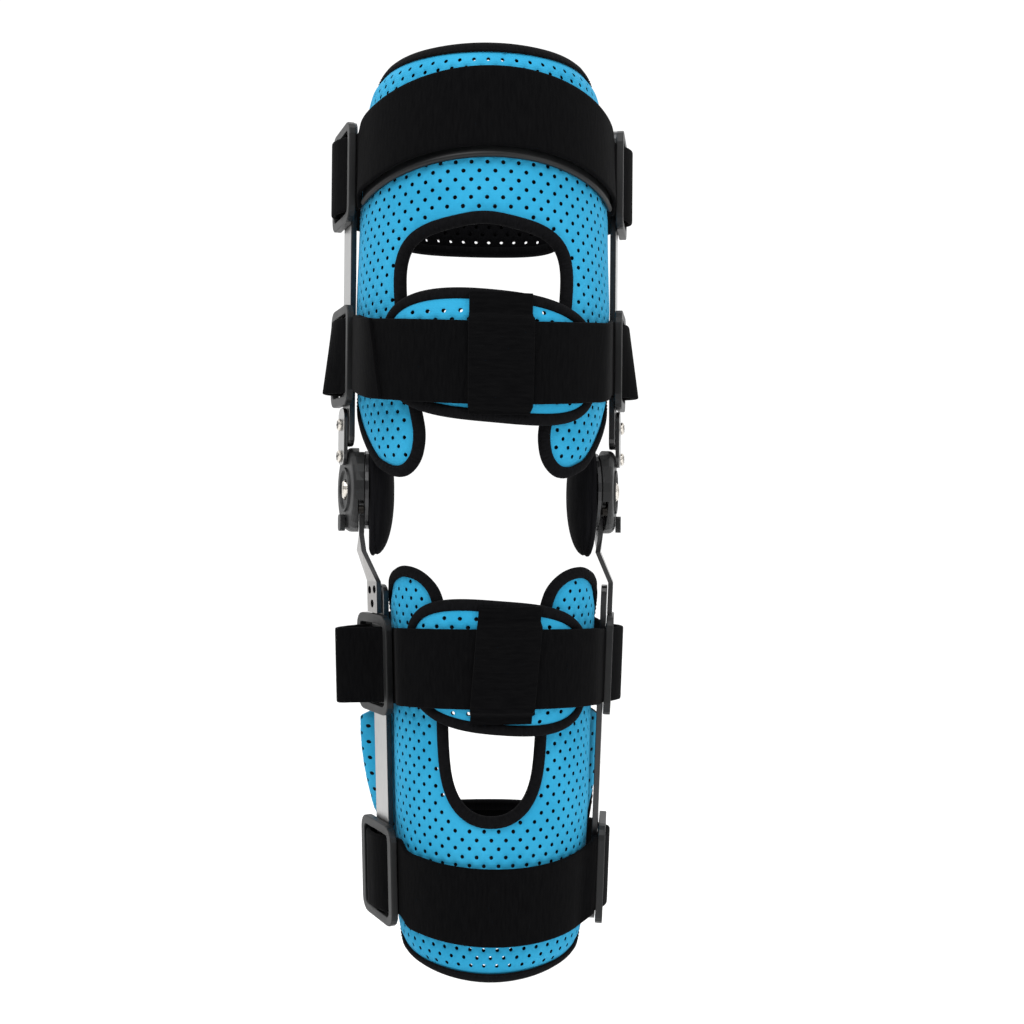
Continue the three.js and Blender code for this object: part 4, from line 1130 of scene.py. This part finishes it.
def make_floor():
    """Pale paper under the brace, white with a faint fibre."""
    finish, tree, _, place = new_finish("studio_paper")
    fibre = add(tree, "ShaderNodeTexNoise", {"Vector": place, "Scale": 1 / (3 * MM), "Detail": 2.0})
    tone = two_tones(tree, fibre.outputs["Fac"], "#fafafa", "#ffffff")
    shader = add(tree, "ShaderNodeBsdfPrincipled", {"Base Color": tone, "Roughness": 0.9})
    close_finish(tree, shader)
    bpy.ops.object.select_all(action="DESELECT")
    bpy.ops.mesh.primitive_plane_add(size=FLOOR_SIZE, location=(0, 0, cad_box[0].z - FLOOR_DROP * MM))
    floor = bpy.context.object
    floor.name = "studio_floor"
    floor.data.materials.append(finish)


# Strength of the light from the room before the brace, the wall behind it and the ceiling
FRONT_GLOW = 0.24
BACK_GLOW = 1.08
TOP_GLOW = 1.0
# Light panels: place and size in metres, power in watts
PANELS = {
    "key_panel": ((-0.4, -0.75, 0.95), 0.9, 11.0),
    "fill_panel": ((0.7, -0.8, 0.35), 0.9, 4.0),
}


def make_light():
    """A white studio wall behind the brace, a dimmer room before it, and soft panels above the camera."""
    world = bpy.data.worlds.new("white_studio")
    world.use_nodes = True
    tree = world.node_tree
    places = add(tree, "ShaderNodeTexCoord")
    split = add(tree, "ShaderNodeSeparateXYZ", {"Vector": places.outputs["Generated"]})
    wall = add(tree, "ShaderNodeMapRange",
               {"Value": split.outputs["Y"], "From Min": -0.3, "From Max": 0.5,
                "To Min": FRONT_GLOW, "To Max": BACK_GLOW}, interpolation_type="SMOOTHSTEP")
    ceiling = add(tree, "ShaderNodeMapRange",
                  {"Value": split.outputs["Z"], "From Min": 0.4, "From Max": 1.0, "To Max": TOP_GLOW},
                  interpolation_type="SMOOTHSTEP")
    glow = add(tree, "ShaderNodeMath", {0: wall.outputs["Result"], 1: ceiling.outputs["Result"]},
               operation="ADD")
    background = tree.nodes["Background"]
    background.inputs["Color"].default_value = (1, 1, 1, 1)
    tree.links.new(glow.outputs[0], background.inputs["Strength"])
    bpy.context.scene.world = world
    for name, (place, size, power) in PANELS.items():
        light = bpy.data.lights.new(name, "AREA")
        light.size = size
        light.energy = power
        panel = bpy.data.objects.new(name, light)
        panel.location = place
        panel.rotation_euler = (-Vector(place)).to_track_quat("-Z", "Y").to_euler()
        bpy.context.scene.collection.objects.link(panel)


def make_camera():
    """A camera before the knee, a little to its right and tipped."""
    azimuth, elevation, roll = (math.radians(a) for a in (CAMERA_AZIMUTH, CAMERA_ELEVATION, CAMERA_ROLL))
    back = Vector((math.sin(azimuth) * math.cos(elevation), -math.cos(azimuth) * math.cos(elevation),
                   math.sin(elevation)))
    level = Vector((math.cos(azimuth), math.sin(azimuth), 0))
    upright = back.cross(level)
    right = level * math.cos(roll) + upright * math.sin(roll)
    up = back.cross(right)
    data = bpy.data.cameras.new("front_camera")
    data.lens = CAMERA_LENS
    data.shift_x, data.shift_y = FRAME_SHIFT
    data.clip_start = 0.01
    camera = bpy.data.objects.new("front_camera", data)
    turn = Matrix((right, up, back)).transposed().to_4x4()
    camera.matrix_world = Matrix.Translation(back * CAMERA_DISTANCE * MM) @ turn
    bpy.context.scene.collection.objects.link(camera)
    bpy.context.scene.camera = camera


make_floor()
make_light()
make_camera()
bpy.context.scene.view_settings.view_transform = "Standard"
